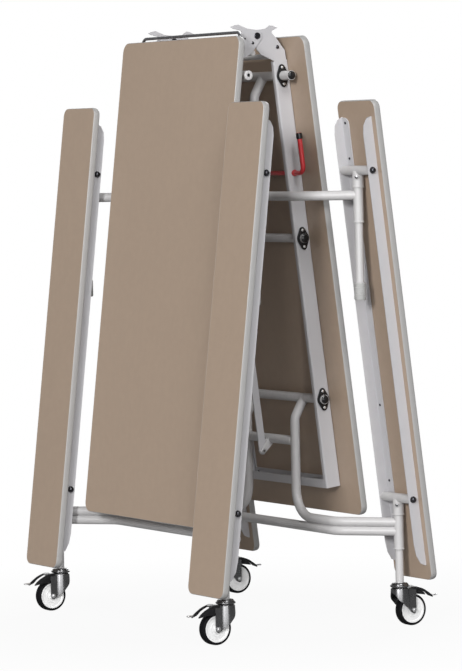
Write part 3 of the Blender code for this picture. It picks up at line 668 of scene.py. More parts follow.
class AddFrames(Operator):
    """Bend and weld the tubular frames that carry the tops"""

    bl_idname = "canteen.add_frames"
    bl_label = "Tubular frames"

    def execute(self, context):
        tubes = context.scene.table_tubes
        flush = tube_ends(context.scene.table_tops)
        ends = {"castor": (-flush[-1], flush[1]), "leg": (-tubes.long_stub, tubes.short_stub)}
        for half in HALVES:
            for kind, bearing, body in FRAMES:
                shapes = frame_shapes(tubes, *ends[kind], kind == "castor")
                name = half + "_" + kind + "_frame"
                place = frame_place(half, bearing)
                add_piece(name + "_tubes", shapes, place, half + body, "tube_paint", [name])
        return {"FINISHED"}


# Posts, from the top down: socket, set screw, sleeve, stem and foot

POST_TOP = 0.002
POST_SLOPE = 0.0015
POST_GAP = 0.0003
RIM_HEIGHT = 0.0055
RIM_EDGE = 0.0008
FOOT_RIBS = 9
RIB = 0.001
RIB_DEPTH = 0.0008
FOOT_LIP = 0.002
FOOT_SHOULDER = 0.0022
FOOT_TOE = 0.0026
FOOT_GAP = 0.0012
SEAT_AXLE = (0.0805, 0.001)
BOSS_DROP = 0.0205
BOSS_SINK = 0.003
BOSS = (0.0080, 0.0062, 0.0012)
SET_SCREW = (0.0056, 0.0086, 0.85)


def post_profile(tubes, end):
    """A stepped post under a seat axle, its socket and sleeve each ended by a rim."""
    profile = eased_top(tubes.socket, -POST_TOP, POST_SLOPE)
    steps = ((tubes.socket, tubes.socket_end, tubes.sleeve), (tubes.sleeve, tubes.sleeve_end, tubes.stem))
    for radius, depth, onward in steps:
        rim = radius + tubes.rim
        profile += [(radius, RIM_HEIGHT - depth), (rim, RIM_HEIGHT - POST_SLOPE - depth)]
        profile += [(rim, RIM_EDGE - depth), (rim - RIM_EDGE, -depth), (onward, -depth)]
    return profile + [(tubes.stem, -end), (0.0, -end)]


def foot_profile(tubes, start, end):
    """A ribbed glide pushed over a leg's end."""
    radius = tubes.foot_radius
    groove = radius - RIB_DEPTH
    profile = [(0.0, FOOT_LIP - start), (radius - FOOT_SHOULDER, FOOT_LIP - start), (groove, -start)]
    for i in range(FOOT_RIBS):
        rib = -start - (end - start - 4 * RIB) * (i + 1) / FOOT_RIBS
        profile += [(groove, rib + 4 * RIB), (radius, rib + 3 * RIB), (radius, rib + RIB), (groove, rib)]
    return profile + [(groove, 3 * RIB - end), (radius - FOOT_TOE, -end), (0.0, -end)]


def seat_axle(tubes):
    return turned(mirrored(eased_top(tubes.radius, *SEAT_AXLE)), ALONG_X)


def set_screw(tubes, side):
    """The small boss on a socket's face, and its screw."""
    turn = Matrix.Rotation(side * pi / 4 - pi / 2, 4, "Z")
    place = shift(0, 0, -BOSS_DROP) @ turn @ ALONG_X @ shift(0, 0, tubes.socket - BOSS_SINK)
    profile = eased_top(*BOSS) + [(BOSS[0], 0.0), (0.0, 0.0)]
    return turned(profile, place, BOLT_STEPS), dome(place, *SET_SCREW)


class AddPosts(Operator):
    """Turn the posts under the seats, with their axles, set screws and feet"""

    bl_idname = "canteen.add_posts"
    bl_label = "Posts and feet"

    def execute(self, context):
        tubes = context.scene.table_tubes
        for side, post, body, place in posts():
            name = post + "_post"
            is_leg = post.endswith("leg")
            end = SEAT_PIVOT.z - (tubes.foot if is_leg else SWIVEL.z + POST_GAP)
            boss, screw = set_screw(tubes, side)
            shapes = [turned(post_profile(tubes, end)), seat_axle(tubes), boss]
            add_piece(name + "_body", shapes, place, body, "tube_paint", [name])
            add_piece(name + "_screw", [screw], place, body, "fork")
            if is_leg:
                foot = turned(foot_profile(tubes, end, SEAT_PIVOT.z - FOOT_GAP))
                add_piece(name + "_foot", [foot], place, body, "glide")
        return {"FINISHED"}


# How far the rear tie tube is set off its drawn place
TIE_SHIFT = Vector((0.0, 0.0165, 0.0405))


class AddCrossTubes(Operator):
    """Add the tubes that cross each top between its rails"""

    bl_idname = "canteen.add_cross_tubes"
    bl_label = "Cross tubes"

    def execute(self, context):
        flush = tube_ends(context.scene.table_tops)
        for half in HALVES:
            place = top_place(half)
            nodes = [half + "_mid_tube", half + "_tie_tube"]
            shapes = []
            for node in nodes:
                low, high = drawn_box(node, place)
                middle = (low + high) / 2
                if node == "rear_tie_tube":
                    middle += TIE_SHIFT
                if node == half + "_mid_tube":
                    low.x, high.x = -flush[-1], flush[1]
                shapes.append(straight_tube(low.x, high.x, middle.y, middle.z, (high.z - low.z) / 2))
            add_piece(half + "_cross_tubes", shapes, place, half + "_top", "tube_paint", nodes)
        return {"FINISHED"}


# Boards

def boards(tops):
    """Each board's name, place, corner and box, lapped over its strip; a top is trimmed at its hinge."""
    lap = Vector((tops.lap, tops.lap, 0.0))
    jobs = [(half + "_top", top_place(half), tops.board_corner, tops.trim) for half in HALVES]
    for half, side, quarter in QUARTERS:
        jobs.append((quarter + "_seat", seat_place(half), tops.seat_corner, 0.0))
    for name, place, corner, trim in jobs:
        low, high = drawn_box(name + "_panel", place)
        low.y += trim
        yield name, place, corner + tops.lap, low - lap, high + lap


def edge_strip(low, high, corner, thick, half_height):
    """A rounded strip that runs once round a board."""
    shape = bmesh.new()
    nose = [(0.0, 1.0)] + arc((0.0, 0.0), 1.0, pi / 2, -pi / 2, NOSE_STEPS)[1:-1] + [(0.0, -1.0)]
    rings = []
    for out, up in nose:
        grow = Vector((thick * out, thick * out))
        outline = rounded_rectangle(low.xy - grow, high.xy + grow, corner + thick * out)
        knots = [shape.verts.new((x, y, half_height * up)) for x, y in outline]
        rings.append([shape.edges.new(pair) for pair in zip(knots, knots[1:] + knots[:1])])
    for one, two in zip(rings, rings[1:] + rings[:1]):
        bmesh.ops.bridge_loops(shape, edges=one + two)
    turn_faces_out(shape)
    return shape


class AddBoards(Operator):
    """Cut the boards of the tops and seats and run the grey edge strips round them"""

    bl_idname = "canteen.add_boards"
    bl_label = "Boards and edge strips"

    def execute(self, context):
        for name, place, corner, low, high in boards(context.scene.table_tops):
            level = shift(0, 0, (low.z + high.z) / 2)
            shape = plate(rounded_rectangle(low, high, corner), high.z - low.z, level)
            add_piece(name + "_board", [shape], place, name, "laminate", [name + "_panel"])
            rim_low, rim_high = drawn_box(name + "_edge", place)
            shape = edge_strip(low, high, corner, low.x - rim_low.x, (rim_high.z - rim_low.z) / 2)
            bmesh.ops.translate(shape, vec=(0, 0, (rim_high.z + rim_low.z) / 2), verts=shape.verts)
            add_piece(name + "_strip", [shape], place, name, "strip", [name + "_edge"])
        return {"FINISHED"}


# Pressed steel

STEEL_EDGE = 0.0007
RAILS = ("_rail_right", "_rail_left", "_end_rail", "_link_bar")
ANGLES = ("_outer_angle", "_inner_angle")


class DressSteel(Operator):
    """Paint the rails, end rails, angles and link bars and ease their edges"""

    bl_idname = "canteen.dress_steel"
    bl_label = "Rails and angles"

    def execute(self, context):
        names = [half + kind for half in HALVES for kind in RAILS]
        names += [quarter + kind for half, side, quarter in QUARTERS for kind in ANGLES]
        for name in names:
            node = frame["nodes"][name]
            node.data.materials.clear()
            node.data.materials.append(finish_named("rail_paint"))
            weld = node.modifiers.new("join", "WELD")
            weld.merge_threshold = MERGE
            soft = node.modifiers.new("ease", "BEVEL")
            soft.width = STEEL_EDGE
            soft.segments = 2
            soft.limit_method = "ANGLE"
            soft.angle_limit = SMOOTH_BELOW
        return {"FINISHED"}


# Bearings, plugs and bolts; a head by its radius, height, straight share and steps

FLANGE_EDGE = 0.0012
FLANGE_SCREW = (0.0046, 0.0026)
FLANGE_SCREW_SINK = 0.0002
LIP_ROOT = 0.003
LIP_TOP = 0.0024
LIP_SINK = 0.001
LIP_HEIGHT = 0.0026
PLUG_SLOPE = radians(42.0)
PLUG_STEPS = 6
PLUG_RIM = 0.92
PLUG_PROUD = 0.0006
PLUG_DEPTH = 0.0012
# Black disc in the long tube's ring plug, painted shade standing in for the dark inside of the hollow tube:
# its share of the radius and its rise
HOLE_SHADE_SHARE = 0.38
HOLE_SHADE_RISE = 0.0006
RING_PLUG = ((0.36, -0.004), (0.36, 0.0008), (0.52, 0.0020), (0.86, 0.0014), (0.98, 0.0), (0.98, -0.004))
SEAT_BOLT_REACH = 0.0844
SEAT_BOLT = (0.0086, 0.0096, 0.45, 24)
SEAT_BOLT_RISE = 0.0012
WASHER = (0.006, 0.0105, 0.0105, 0.0014)
HINGE_PIN = 0.006
HINGE_HEAD = 0.0025
HINGE_EDGE = 0.0008
SMALL_SCREW = (0.0042, 0.0026)
RAIL_WALL = 0.004
ANGLE_WALL = 0.003
ANGLE_SCREWS = (-1.185, -1.073, -0.675, -0.290, -0.048, 0.100)
END_SCREWS = (-0.235, 0.0, 0.235)
END_SCREW_IN = 0.014
PLATE_BOLTS = {
    ("rear", 1): ((0.0760, -0.0355, 0.0060),),
    ("rear", -1): ((0.0760, -0.0355, 0.0060),),
    ("front", 1): (),
    ("front", -1): ((0.0165, -0.0226, 0.0045), (0.0450, -0.0090, 0.0030)),
}
PLATE_BOLT_HEIGHT = 0.6
LINK_COLLAR = ((0.0030, 0.0), (0.0076, 0.0), (0.0076, 0.0022), (0.0064, 0.0034), (0.0030, 0.0034))
LINK_END = (0.0032, 0.0030)


class AddBearings(Operator):
    """Fit the black flange bearings to the rails, with their screws"""

    bl_idname = "canteen.add_bearings"
    bl_label = "Flange bearings"

    def execute(self, context):
        tops = context.scene.table_tops
        radius = context.scene.table_tubes.radius
        thick = tops.flange_thick
        outline = two_eared(tops.flange_radius, tops.flange_tip, tops.flange_ear)
        lip = (radius, radius + LIP_ROOT, radius + LIP_TOP, LIP_HEIGHT, TUBE_SIDES)
        for half, side, quarter in QUARTERS:
            flanges = []
            screws = []
            for spot in (BEARING_NEAR, BEARING_MID, BEARING_FAR):
                place = outward(side, rail_faces(tops)[side], spot.y, spot.z)
                flanges.append(plate(outline, thick, place @ shift(0, 0, thick / 2), FLANGE_EDGE))
                flanges.append(collar(place @ shift(0, 0, thick - LIP_SINK), *lip))
                for ear in (-1, 1):
                    seat = place @ shift(ear * tops.flange_ear, 0, thick - FLANGE_SCREW_SINK)
                    screws.append(dome(seat, *FLANGE_SCREW))
            add_piece(quarter + "_bearings", flanges, top_place(half), half + "_top", "plastic")
            add_piece(quarter + "_bearing_screws", screws, top_place(half), half + "_top", "bolt")
        return {"FINISHED"}


def tube_plug(radius, place):
    """A push-in plug with a domed head inside a tube's end."""
    rim = radius * PLUG_RIM
    ball = rim / sin(PLUG_SLOPE)
    slopes = [PLUG_SLOPE * step / PLUG_STEPS for step in range(PLUG_STEPS + 1)]
    profile = [(ball * sin(slope), ball * (cos(slope) - cos(PLUG_SLOPE)) + PLUG_PROUD) for slope in slopes]
    return turned(profile + [(rim, -PLUG_DEPTH), (0.0, -PLUG_DEPTH)], place, TUBE_SIDES)


def tube_plugs(radius, ends, spot=Vector()):
    return [tube_plug(radius, outward(side, end, spot.y, spot.z)) for side, end in ends.items()]


class AddPlugs(Operator):
    """Plug the open ends of the bearing tubes, the long one with a pale ring whose hole is filled by a
    black disc, painted shade of the hollow tube's inside
    """

    bl_idname = "canteen.add_plugs"
    bl_label = "Tube plugs"

    def execute(self, context):
        tubes = context.scene.table_tubes
        radius = tubes.radius
        flush = tube_ends(context.scene.table_tops)
        long_end = outward(-1, tubes.long_stub)
        ring = [(share * radius, height) for share, height in RING_PLUG]
        for half in HALVES:
            place = frame_place(half, FAR_BEARING)
            add_piece(half + "_far_plugs", tube_plugs(radius, flush), place, half + "_base", "plastic")
            place = frame_place(half, NEAR_BEARING)
            plugs = tube_plugs(radius, {1: tubes.short_stub})
            # Painted shade: a black disc in the ring plug's hole stands in for the dark inside of the tube
            plugs.append(dome(long_end, radius * HOLE_SHADE_SHARE, HOLE_SHADE_RISE))
            add_piece(half + "_near_plugs", plugs, place, half + "_legs", "plastic")
            plug = turned(ring, long_end, TUBE_SIDES, ring=True)
            add_piece(half + "_ring_plug", [plug], place, half + "_legs", "tube_paint")
            plugs = tube_plugs(radius, flush, BEARING_MID)
            add_piece(half + "_mid_plugs", plugs, top_place(half), half + "_top", "plastic")
        return {"FINISHED"}


def hinge_pin(low, high, side):
    """A pin along X with a head at each end, as long and as thick as its box."""
    inner, outer = sorted((abs(low.x), abs(high.x)))
    head = (high.y - low.y) / 2
    profile = eased_top(head, outer, HINGE_EDGE)
    outer -= HINGE_HEAD
    profile += [(head, outer), (HINGE_PIN, outer), (HINGE_PIN, inner + HINGE_HEAD)]
    profile += [(head, inner + HINGE_HEAD), (head, inner), (0.0, inner)]
    return turned(profile, Matrix.Rotation(side * pi / 2, 4, "Y"))


class AddPins(Operator):
    """Fit the bolts and pins that the seats, the tops and the link bars swing on"""

    bl_idname = "canteen.add_pins"
    bl_label = "Bolts and pins"

    def execute(self, context):
        for side, post, body, place in posts():
            bolts = []
            for hand in (1, -1):
                seat = outward(hand, SEAT_BOLT_REACH)
                bolts.append(collar(seat, *WASHER))
                bolts.append(dome(seat @ shift(0, 0, SEAT_BOLT_RISE), *SEAT_BOLT))
            add_piece(post + "_seat_bolts", bolts, place, body, "dark_bolt")
        place = top_place("rear")
        for side, label in SIDE_NAMES["rear"].items():
            node = "hinge_pin_" + label
            shape = hinge_pin(*drawn_box(node, place), side)
            add_piece(node + "_turned", [shape], place, "rear_top", "dark_bolt", [node])
        seats = [outward(side, EAR_X + EAR_THICK / 2, LINK_PIN.y, LINK_PIN.z) for side in (1, -1)]
        for half in HALVES:
            for end, (kind, bearing, body) in zip(("far", "near"), FRAMES):
                name = half + "_" + end + "_link_pin"
                place = frame_place(half, bearing)
                collars = [turned(LINK_COLLAR, seat, BOLT_STEPS, ring=True) for seat in seats]
                add_piece(name + "_collars", collars, place, half + body, "bolt")
                ends = [dome(seat, *LINK_END) for seat in seats]
                add_piece(name + "_ends", ends, place, half + body, "dark_bolt")
        return {"FINISHED"}


def hanging_screw(x, y, z):
    return dome(shift(x, y, z) @ UPSIDE_DOWN, *SMALL_SCREW)


class AddScrews(Operator):
    """Fit the small screws of the angles, end rails and hinge plates"""

    bl_idname = "canteen.add_screws"
    bl_label = "Small screws"

    def execute(self, context):
        for half, side, quarter in QUARTERS:
            place = seat_place(half)
            screws = []
            for low, high in [drawn_box(quarter + kind, place) for kind in ANGLES]:
                middle = (low.x + high.x) / 2
                screws += [hanging_screw(middle, along, high.z - ANGLE_WALL) for along in ANGLE_SCREWS]
            add_piece(quarter + "_angle_screws", screws, place, quarter + "_seat", "dark_bolt")
        for half in HALVES:
            place = top_place(half)
            high = drawn_box(half + "_end_rail", place)[1]
            screws = [hanging_screw(x, high.y - END_SCREW_IN, high.z - RAIL_WALL) for x in END_SCREWS]
            for side, face in rail_faces(context.scene.table_tops).items():
                for y, z, radius in PLATE_BOLTS[half, side]:
                    spot = LAID_FLAT @ Vector((0.0, y, z))
                    seat = outward(side, face, spot.y, spot.z)
                    screws.append(dome(seat, radius, radius * PLATE_BOLT_HEIGHT))
            add_piece(half + "_plate_bolts", screws, place, half + "_top", "dark_bolt")
        return {"FINISHED"}


# Castors

TYRE_SHOULDER = 0.0068
SHOULDER_STEPS = 6
AXLE_HOLE = 0.0054
AXLE_RADIUS = 0.005
DISH_SINK = 0.003
TYRE_LIP = ((-0.0015, -0.0038), (0.0, -0.0012), (0.0010, 0.0))
DISH_HUB = ((-0.001, 0.004), (0.0, 0.003), (0.0, 0.0006), (0.0040, 0.0))
DISH_RING = ((0.0075, 0.0), (0.0085, 0.0009), (0.0100, 0.0009), (0.0110, 0.0))
DISH_RIM = ((-0.0075, -0.0006), (-0.0060, 0.0012), (-0.0010, 0.0016), (0.0, 0.0008))
AXLE_TIP = (0.0046, 0.0052, 0.8)
AXLE_NUT = {"sides": 6, "radius": 0.0078, "height": 0.0032, "edge": 0.0007}


def tyre_profile(castors):
    """Half a tyre's section, from the disc out to the tread."""
    side = castors.wheel_half
    shoulder = (AXLE_HEIGHT - TYRE_SHOULDER, side - TYRE_SHOULDER)
    curve = arc(shoulder, TYRE_SHOULDER, pi / 2, 0.0, SHOULDER_STEPS)
    return stepped(TYRE_LIP, castors.disc, side) + curve


def dish_profile(castors):
    """Half a wheel disc's section: a raised hub, a ring half way out and a raised rim."""
    face = castors.wheel_half - DISH_SINK
    profile = stepped(DISH_HUB + DISH_RING, castors.hub, face) + stepped(DISH_RIM, castors.disc, face)
    return [(AXLE_HOLE, profile[0][1])] + profile


def add_wheel(castors, quarter, place):
    """A black tyre on a pale disc."""
    place = place @ shift(0, TRAIL, AXLE_HEIGHT) @ ALONG_X
    for part, profile, finish in (("_tyre", tyre_profile, "rubber"), ("_wheel_disc", dish_profile, "disc")):
        shape = turned(mirrored(profile(castors)), steps=WHEEL_STEPS, ring=True)
        add_piece(quarter + part, [shape], place, quarter + "_wheel", finish, [quarter + "_castor_wheel"])


# Lower edge of a fork, by distance behind its swivel and height
FORK_EDGE = (
    (-0.0300, 0.108), (-0.0260, 0.101), (-0.0176, 0.085), (-0.0057, 0.074), (0.0030, 0.064),
    (0.0127, 0.057), (0.0260, 0.0455), (0.0340, 0.0402), (0.0390, 0.0390), (0.0430, 0.0402),
    (0.0460, 0.0440), (0.0475, 0.0520),
)
FORK_LEAN = tan(radians(3.0))
FORK_STEPS = 40
FORK_JOIN = 0.001
ROOF_EDGE = 0.004
ROOF_STEPS = 4
HEAD_RING = 0.0038
HEAD_RING_RISE = 0.0058
HEAD_RING_OUT = 0.0002
HEAD_RING_STEPS = 8
HEAD_TOP = ((-0.004, 0.0), (-0.001, -0.002), (0.0, -0.005))
HEAD_FOOT = ((-0.004, 0.0015), (-0.004, -0.001))


def fork_edge(y):
    """Height of a fork's lower edge at a distance behind its swivel."""
    for (y0, z0), (y1, z1) in zip(FORK_EDGE, FORK_EDGE[1:]):
        if y <= y1:
            return z0 + (z1 - z0) * (y - y0) / (y1 - y0)
    return FORK_EDGE[-1][1]


def fork_hood(castors):
    """A pressed hood: a round that widens downwards, and two flat legs cut to the side outline."""
    half = castors.fork_half
    roof = castors.fork_roof
    crease = acos(half / castors.fork_round)
    nose = arc((0.0, 0.0), castors.fork_round, crease, -pi - crease, FORK_STEPS)
    join = nose[0][1] + FORK_JOIN
    backs = [y for y, z in reversed(FORK_EDGE) if y > join]
    plan = [(half, y) for y in backs] + nose + [(-half, y) for y in reversed(backs)]
    shape = bmesh.new()
    upper = [shape.verts.new((x, y, roof)) for x, y in plan]
    wall = [shape.edges.new(pair) for pair in zip(upper, upper[1:])]
    made = bmesh.ops.extrude_edge_only(shape, edges=wall)["geom"]
    for knot in corners(made):
        drop = roof - fork_edge(knot.co.y)
        if knot.co.y < join:
            knot.co.xy *= 1.0 + drop * FORK_LEAN / castors.fork_round
        knot.co.z = roof - drop
    bmesh.ops.contextual_create(shape, geom=upper)
    turn_faces_out(shape)
    folds = [edge for edge in shape.edges if len(edge.link_faces) == 2]
    rims = [edge for edge in folds if all(knot.co.z > roof - MERGE for knot in edge.verts)]
    ease(shape, rims, ROOF_EDGE, ROOF_STEPS)
    turn_faces_out(shape)
    if sum(face.normal.z * face.calc_area() for face in shape.faces) < 0:
        bmesh.ops.reverse_faces(shape, faces=shape.faces)
    return shape


def swivel_collar(castors):
    """The round swivel head with its wider lower ring."""
    head = castors.head
    middle = (head + HEAD_RING_OUT, castors.fork_roof + HEAD_RING_RISE)
    profile = [(0.0, SWIVEL.z)] + stepped(HEAD_TOP, head, SWIVEL.z)
    profile += arc(middle, HEAD_RING, pi / 2, -pi / 2, HEAD_RING_STEPS)
    profile += stepped(HEAD_FOOT, head, castors.fork_roof)
    return turned(profile + [(0.0, profile[-1][1])], steps=WHEEL_STEPS)


def sharpen_rim(mesh):
    """Mark the open rim of a wall as sharp, so that the wall is shaded flat up to it."""
    shape = bmesh.new()
    shape.from_mesh(mesh)
    for edge in shape.edges:
        if edge.is_boundary:
            edge.smooth = False
    shape.to_mesh(mesh)
    shape.free()


def add_fork(castors, quarter, place):
    """A pressed fork with its swivel head and the axle of its wheel."""
    body = quarter + "_castor"
    hood = add_piece(quarter + "_fork_hood", [fork_hood(castors)], place, body, "fork", [body + "_fork"])
    sharpen_rim(hood.data)
    wall = hood.modifiers.new("wall", "SOLIDIFY")
    wall.thickness = castors.fork_wall
    wall.offset = -1.0
    add_piece(quarter + "_swivel_collar", [swivel_collar(castors)], place, body, "fork")
    reach = castors.fork_half
    axle = mirrored([(0.0, reach), (AXLE_RADIUS, reach)])
    bolts = [turned(axle, shift(0, TRAIL, AXLE_HEIGHT) @ ALONG_X, BOLT_STEPS)]
    for hand in (1, -1):
        seat = outward(hand, reach, TRAIL, AXLE_HEIGHT)
        bolts += [prism(seat, **AXLE_NUT), dome(seat, *AXLE_TIP)]
    add_piece(quarter + "_castor_bolts", bolts, place, body, "bolt")


# Outlines of the pedal's deep wing, of the thin bar beside it and of the saddle between them
PEDAL_WING = (
    (-0.0120, 0.0060), (0.0014, 0.0085), (0.0130, 0.0068), (0.0250, 0.0016), (0.0420, -0.0068),
    (0.0550, -0.0163), (0.0630, -0.0248), (0.0630, -0.0278), (0.0500, -0.0255), (0.0350, -0.0232),
    (0.0070, -0.0222), (0.0048, -0.0010), (-0.0120, -0.0010),
)
PEDAL_BAR = (
    (-0.0120, 0.0060), (0.0014, 0.0075), (0.0097, 0.0052), (0.0225, 0.0008), (0.0337, -0.0045),
    (0.0509, -0.0162), (0.0630, -0.0265), (0.0630, -0.0310), (0.0457, -0.0245), (0.0337, -0.0135),
    (0.0225, -0.0070), (0.0097, -0.0012), (-0.0120, -0.0010),
)
PEDAL_SADDLE = ((-0.012, 0.0052), (0.0014, 0.0076), (0.0130, 0.0040), (0.0120, 0.0010), (-0.012, 0.0016))
PEDAL_WALL = 0.007
WING_EDGE = 0.0016
SADDLE_IN = 0.002
SADDLE_EDGE = 0.0008
TIP_WIDTH = 0.009
TIP_HEIGHT = -0.0245
TIP_BACK = 0.0805
TIP_ENDS = (0.0560, 0.0640)
TIP_BEND = 0.004
TIP_BEND_STEPS = 4
TIP_WIRE = 0.0022
TIP_SIDES = 8


def add_pedal(castors, quarter, place):
    """A moulded brake pedal: a saddle with two wings and a steel tip."""
    place = place @ shift(0, PEDAL_BACK, PEDAL_HEIGHT)
    body = quarter + "_brake"
    spread = castors.pedal_half
    outer = spread - PEDAL_WALL / 2
    inner = outer - TIP_WIDTH
    shapes = []
    for x, outline in ((-outer, PEDAL_WING), (outer, PEDAL_BAR)):
        shapes.append(plate(outline, PEDAL_WALL, shift(x, 0, 0) @ SIDE_ON, WING_EDGE))
    shapes.append(plate(PEDAL_SADDLE, 2 * (spread - SADDLE_IN), SIDE_ON, SADDLE_EDGE))
    add_piece(quarter + "_pedal_wings", shapes, place, body, "plastic", [quarter + "_castor_pedal"])
    loop = [(outer, TIP_ENDS[0]), (outer, TIP_BACK), (inner, TIP_BACK), (inner, TIP_ENDS[1])]
    wire = bent([(x, y, TIP_HEIGHT) for x, y in loop], (TIP_BEND, TIP_BEND), TIP_BEND_STEPS)
    add_piece(quarter + "_pedal_tip", [swept(wire, TIP_WIRE, TIP_SIDES)], place, body, "bolt")


class AddCastors(Operator):
    """Make the castors: their wheels, forks and brake pedals"""

    bl_idname = "canteen.add_castors"
    bl_label = "Castors"

    def execute(self, context):
        for half, side, quarter in QUARTERS:
            place = ROOT[half] @ shift(side * SEAT_X, SWIVEL.y, 0.0)
            for add_part in (add_wheel, add_fork, add_pedal):
                add_part(context.scene.table_castors, quarter, place)
        return {"FINISHED"}


# Latch and handle

LATCH_BEND = 0.024
CAP_LENGTH = 0.019
CAP_WALL = 0.0022
CAP_EDGE = 0.001
CAP_SIDE = 0.0150
CAP_SHOULDER = 0.0185
CAP_TOP = 0.0191
LATCH_LIP = (0.0030, 0.0022, 0.0050)
HANDLE_BEND = 0.022


class AddLatch(Operator):
    """Bend the red latch lever and cap its end"""

    bl_idname = "canteen.add_latch"
    bl_label = "Latch lever"

    def execute(self, context):
        place = top_place("rear") @ shift(*LATCH_AT)
        low, high = drawn_box("latch_lever", place)
        radius = (high.z - low.z) / 2
        x = high.x - radius
        points = [(low.x, 0.0, 0.0), (x, 0.0, 0.0), (x, low.y, 0.0)]
        lever = swept(bent(points, (LATCH_BEND,)), radius)
        add_piece("latch_lever_rod", [lever], place, "latch", "latch", ["latch_lever"])
        tip = shift(x, low.y + CAP_LENGTH, 0.0) @ Matrix.Rotation(pi / 2, 4, "X")
        wide = radius + CAP_WALL
        profile = [(radius, 0.0), (wide, 0.0), (wide, CAP_SIDE), (radius + CAP_EDGE, CAP_SHOULDER)]
        profile += [(0.0, CAP_TOP), (0.0, 0.0)]
        add_piece("latch_cap", [turned(profile, tip)], place, "latch", "plastic")
        root, top, height = LATCH_LIP
        faces = rail_faces(context.scene.table_tops).items()
        rings = [collar(outward(*face), radius, radius + root, radius + top, height) for face in faces]
        add_piece("latch_collars", rings, place, "latch", "latch")
        return {"FINISHED"}


class AddHandle(Operator):
    """Bend the bright handle along the hinge edge"""

    bl_idname = "canteen.add_handle"
    bl_label = "Top handle"

    def execute(self, context):
        place = top_place("front")
        low, high = drawn_box("top_handle", place)
        radius = (high.z - low.z) / 2
        rise = (high.z + low.z) / 2
        faces = rail_faces(context.scene.table_tops)
        left, right = low.x + radius, high.x - radius
        near, far = low.y + radius, high.y - radius
        route = [(-faces[-1], far), (left, far), (left, near), (right, near), (right, far), (faces[1], far)]
        path = bent([(x, y, rise) for x, y in route], (HANDLE_BEND,) * 4)
        shape = swept(path, radius, ROD_SIDES)
        add_piece("top_handle_bar", [shape], place, "front_top", "chrome", ["top_handle"])
        return {"FINISHED"}


# Stage

FLOOR_HALF = 30.0
MIDDLE = Vector((0.0, 0.0, 0.95))
WORLD_LEVEL = 0.22
WHITE = (1.0, 1.0, 1.0, 1.0)

# Each lamp's place, width, height and power
LAMPS = {
    "key_lamp": ((15.0, -20.7, 8.6), 5.0, 5.0, 4400.0),
    "panel_lamp": ((24.6, -13.6, 5.45), 28.0, 10.8, 3050.0),
    "side_lamp": ((11.0, -2.2, 11.5), 4.0, 4.0, 930.0),
    "back_lamp": ((-15.0, 20.7, 12.4), 8.0, 8.0, 2600.0),
    "wall_lamp": ((-24.6, 13.6, 5.45), 28.0, 10.8, 1300.0),
}

# The camera's place, its lens and the way its axes point
CAMERA_AT = (10.1003, -5.9426, 1.5197)
CAMERA_RIGHT = (0.51040, 0.85967, -0.02156)
CAMERA_UP = (-0.03364, 0.04501, 0.99842)
CAMERA_BACK = (0.85928, -0.50887, 0.05189)
LENS = 195.81
SENSOR = 36.0
SIGHT = 100.0


def whiten(plain, share, kind, output):
    """Turn a shader white by a share where the camera sees it, on the way to its output."""
    white = plain.node(kind, {}, {"Color": WHITE, "Strength": 1.0})
    seen = plain.node("LightPath", {}, {}, "Is Camera Ray") * share
    mixed = plain.node("MixShader", {}, {0: seen, 1: plain, 2: white})
    fill(plain.tree.nodes[output], {"Surface": mixed})


def floor_finish(tone):
    """A pale floor that takes a faint shadow near the table and fades to plain white."""
    made, shader, place = new_finish("studio_floor")
    tint = place.noise(3.0, 2.0).blend(shade(tone, 0.99), shade(tone, 1.01))
    fill(shader, {"Base Color": tint, "Roughness": 0.9})
    away = place.node("VectorMath", {"operation": "LENGTH"}, {0: place}, "Value").between(0.6, 1.8)
    whiten(Socket(place.tree, shader.outputs[0]), away * 0.06 + 0.94, "Emission", "Material Output")
    return made


def white_world(level):
    """Even light from all round, white where the camera sees it."""
    world = bpy.data.worlds.new("studio")
    world.use_nodes = True
    soft = world.node_tree.nodes["Background"]
    fill(soft, {"Color": WHITE, "Strength": level})
    whiten(Socket(world.node_tree, soft.outputs[0]), 1.0, "Background", "World Output")
    return world


def soft_lamp(name, spot, width, height, power):
    lamp = bpy.data.lights.new(name, "AREA")
    lamp.shape = "RECTANGLE"
    lamp.size = width
    lamp.size_y = height
    lamp.energy = power
    made = bpy.data.objects.new(name, lamp)
    made.visible_camera = False
    made.location = spot
    made.rotation_euler = (MIDDLE - Vector(spot)).to_track_quat("-Z", "Y").to_euler()
    return made


def photo_camera():
    lens = bpy.data.cameras.new("photo_camera")
    lens.sensor_fit = "VERTICAL"
    lens.sensor_height = SENSOR
    lens.lens = LENS
    lens.clip_end = SIGHT
    camera = bpy.data.objects.new("photo_camera", lens)
    columns = Matrix((CAMERA_RIGHT, CAMERA_UP, CAMERA_BACK)).transposed()
    camera.matrix_world = shift(*CAMERA_AT) @ columns.to_4x4()
    return camera


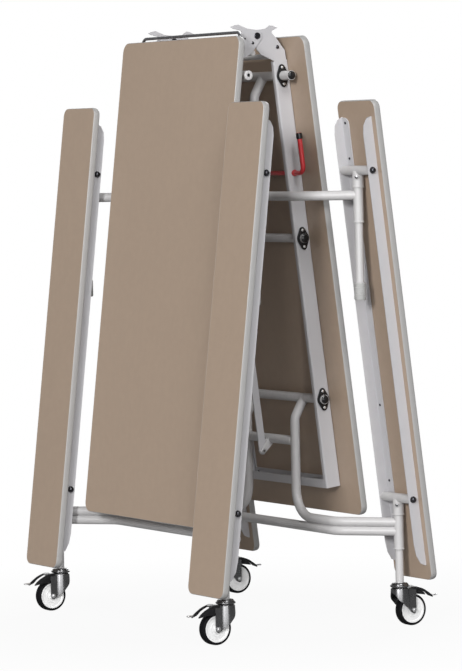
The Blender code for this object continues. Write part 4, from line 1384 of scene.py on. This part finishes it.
class SetStage(Operator):
    """Lay the floor, hang the lamps and set the camera"""

    bl_idname = "canteen.set_stage"
    bl_label = "Stage"

    def execute(self, context):
        scene = context.scene
        shape = bmesh.new()
        bmesh.ops.create_grid(shape, x_segments=4, y_segments=4, size=FLOOR_HALF)
        mesh = bpy.data.meshes.new("floor")
        shape.to_mesh(mesh)
        shape.free()
        mesh.materials.append(floor_finish(scene.table_finishes.floor))
        placed = [bpy.data.objects.new("floor", mesh)]
        placed += [soft_lamp(name, *lamp) for name, lamp in LAMPS.items()]
        placed.append(photo_camera())
        for made in placed:
            scene.collection.objects.link(made)
        scene.camera = placed[-1]
        scene.world = white_world(WORLD_LEVEL)
        scene.view_settings.view_transform = "Standard"
        return {"FINISHED"}


# Panel and registration

PIECES = (
    AddFrames, AddPosts, AddCrossTubes, AddBoards, DressSteel, AddBearings, AddPlugs, AddPins, AddScrews,
    AddCastors, AddLatch, AddHandle, SetStage,
)
GROUPS = {
    "table_tubes": TubeSizes,
    "table_tops": TopSizes,
    "table_castors": CastorSizes,
    "table_finishes": Finishes,
}


class CanteenPanel(Panel):
    """Sizes, colours and pieces of the folding canteen table"""

    bl_idname = "VIEW3D_PT_canteen_table"
    bl_label = "Canteen table"
    bl_space_type = "VIEW_3D"
    bl_region_type = "UI"
    bl_category = "Canteen table"

    def draw(self, context):
        for group, kind in GROUPS.items():
            box = self.layout.box()
            for field in kind.__annotations__:
                box.prop(getattr(context.scene, group), field)
        for piece in PIECES:
            self.layout.operator(piece.bl_idname)


CLASSES = (*GROUPS.values(), *PIECES, CanteenPanel)


def register():
    for kind in CLASSES:
        bpy.utils.register_class(kind)
    for group, kind in GROUPS.items():
        setattr(bpy.types.Scene, group, PointerProperty(type=kind))


def unregister():
    for group in GROUPS:
        delattr(bpy.types.Scene, group)
    for kind in reversed(CLASSES):
        bpy.utils.unregister_class(kind)


def main():
    register()
    for piece in PIECES:
        getattr(bpy.ops.canteen, piece.bl_idname.split(".")[1])()


if __name__ == "__main__":
    main()
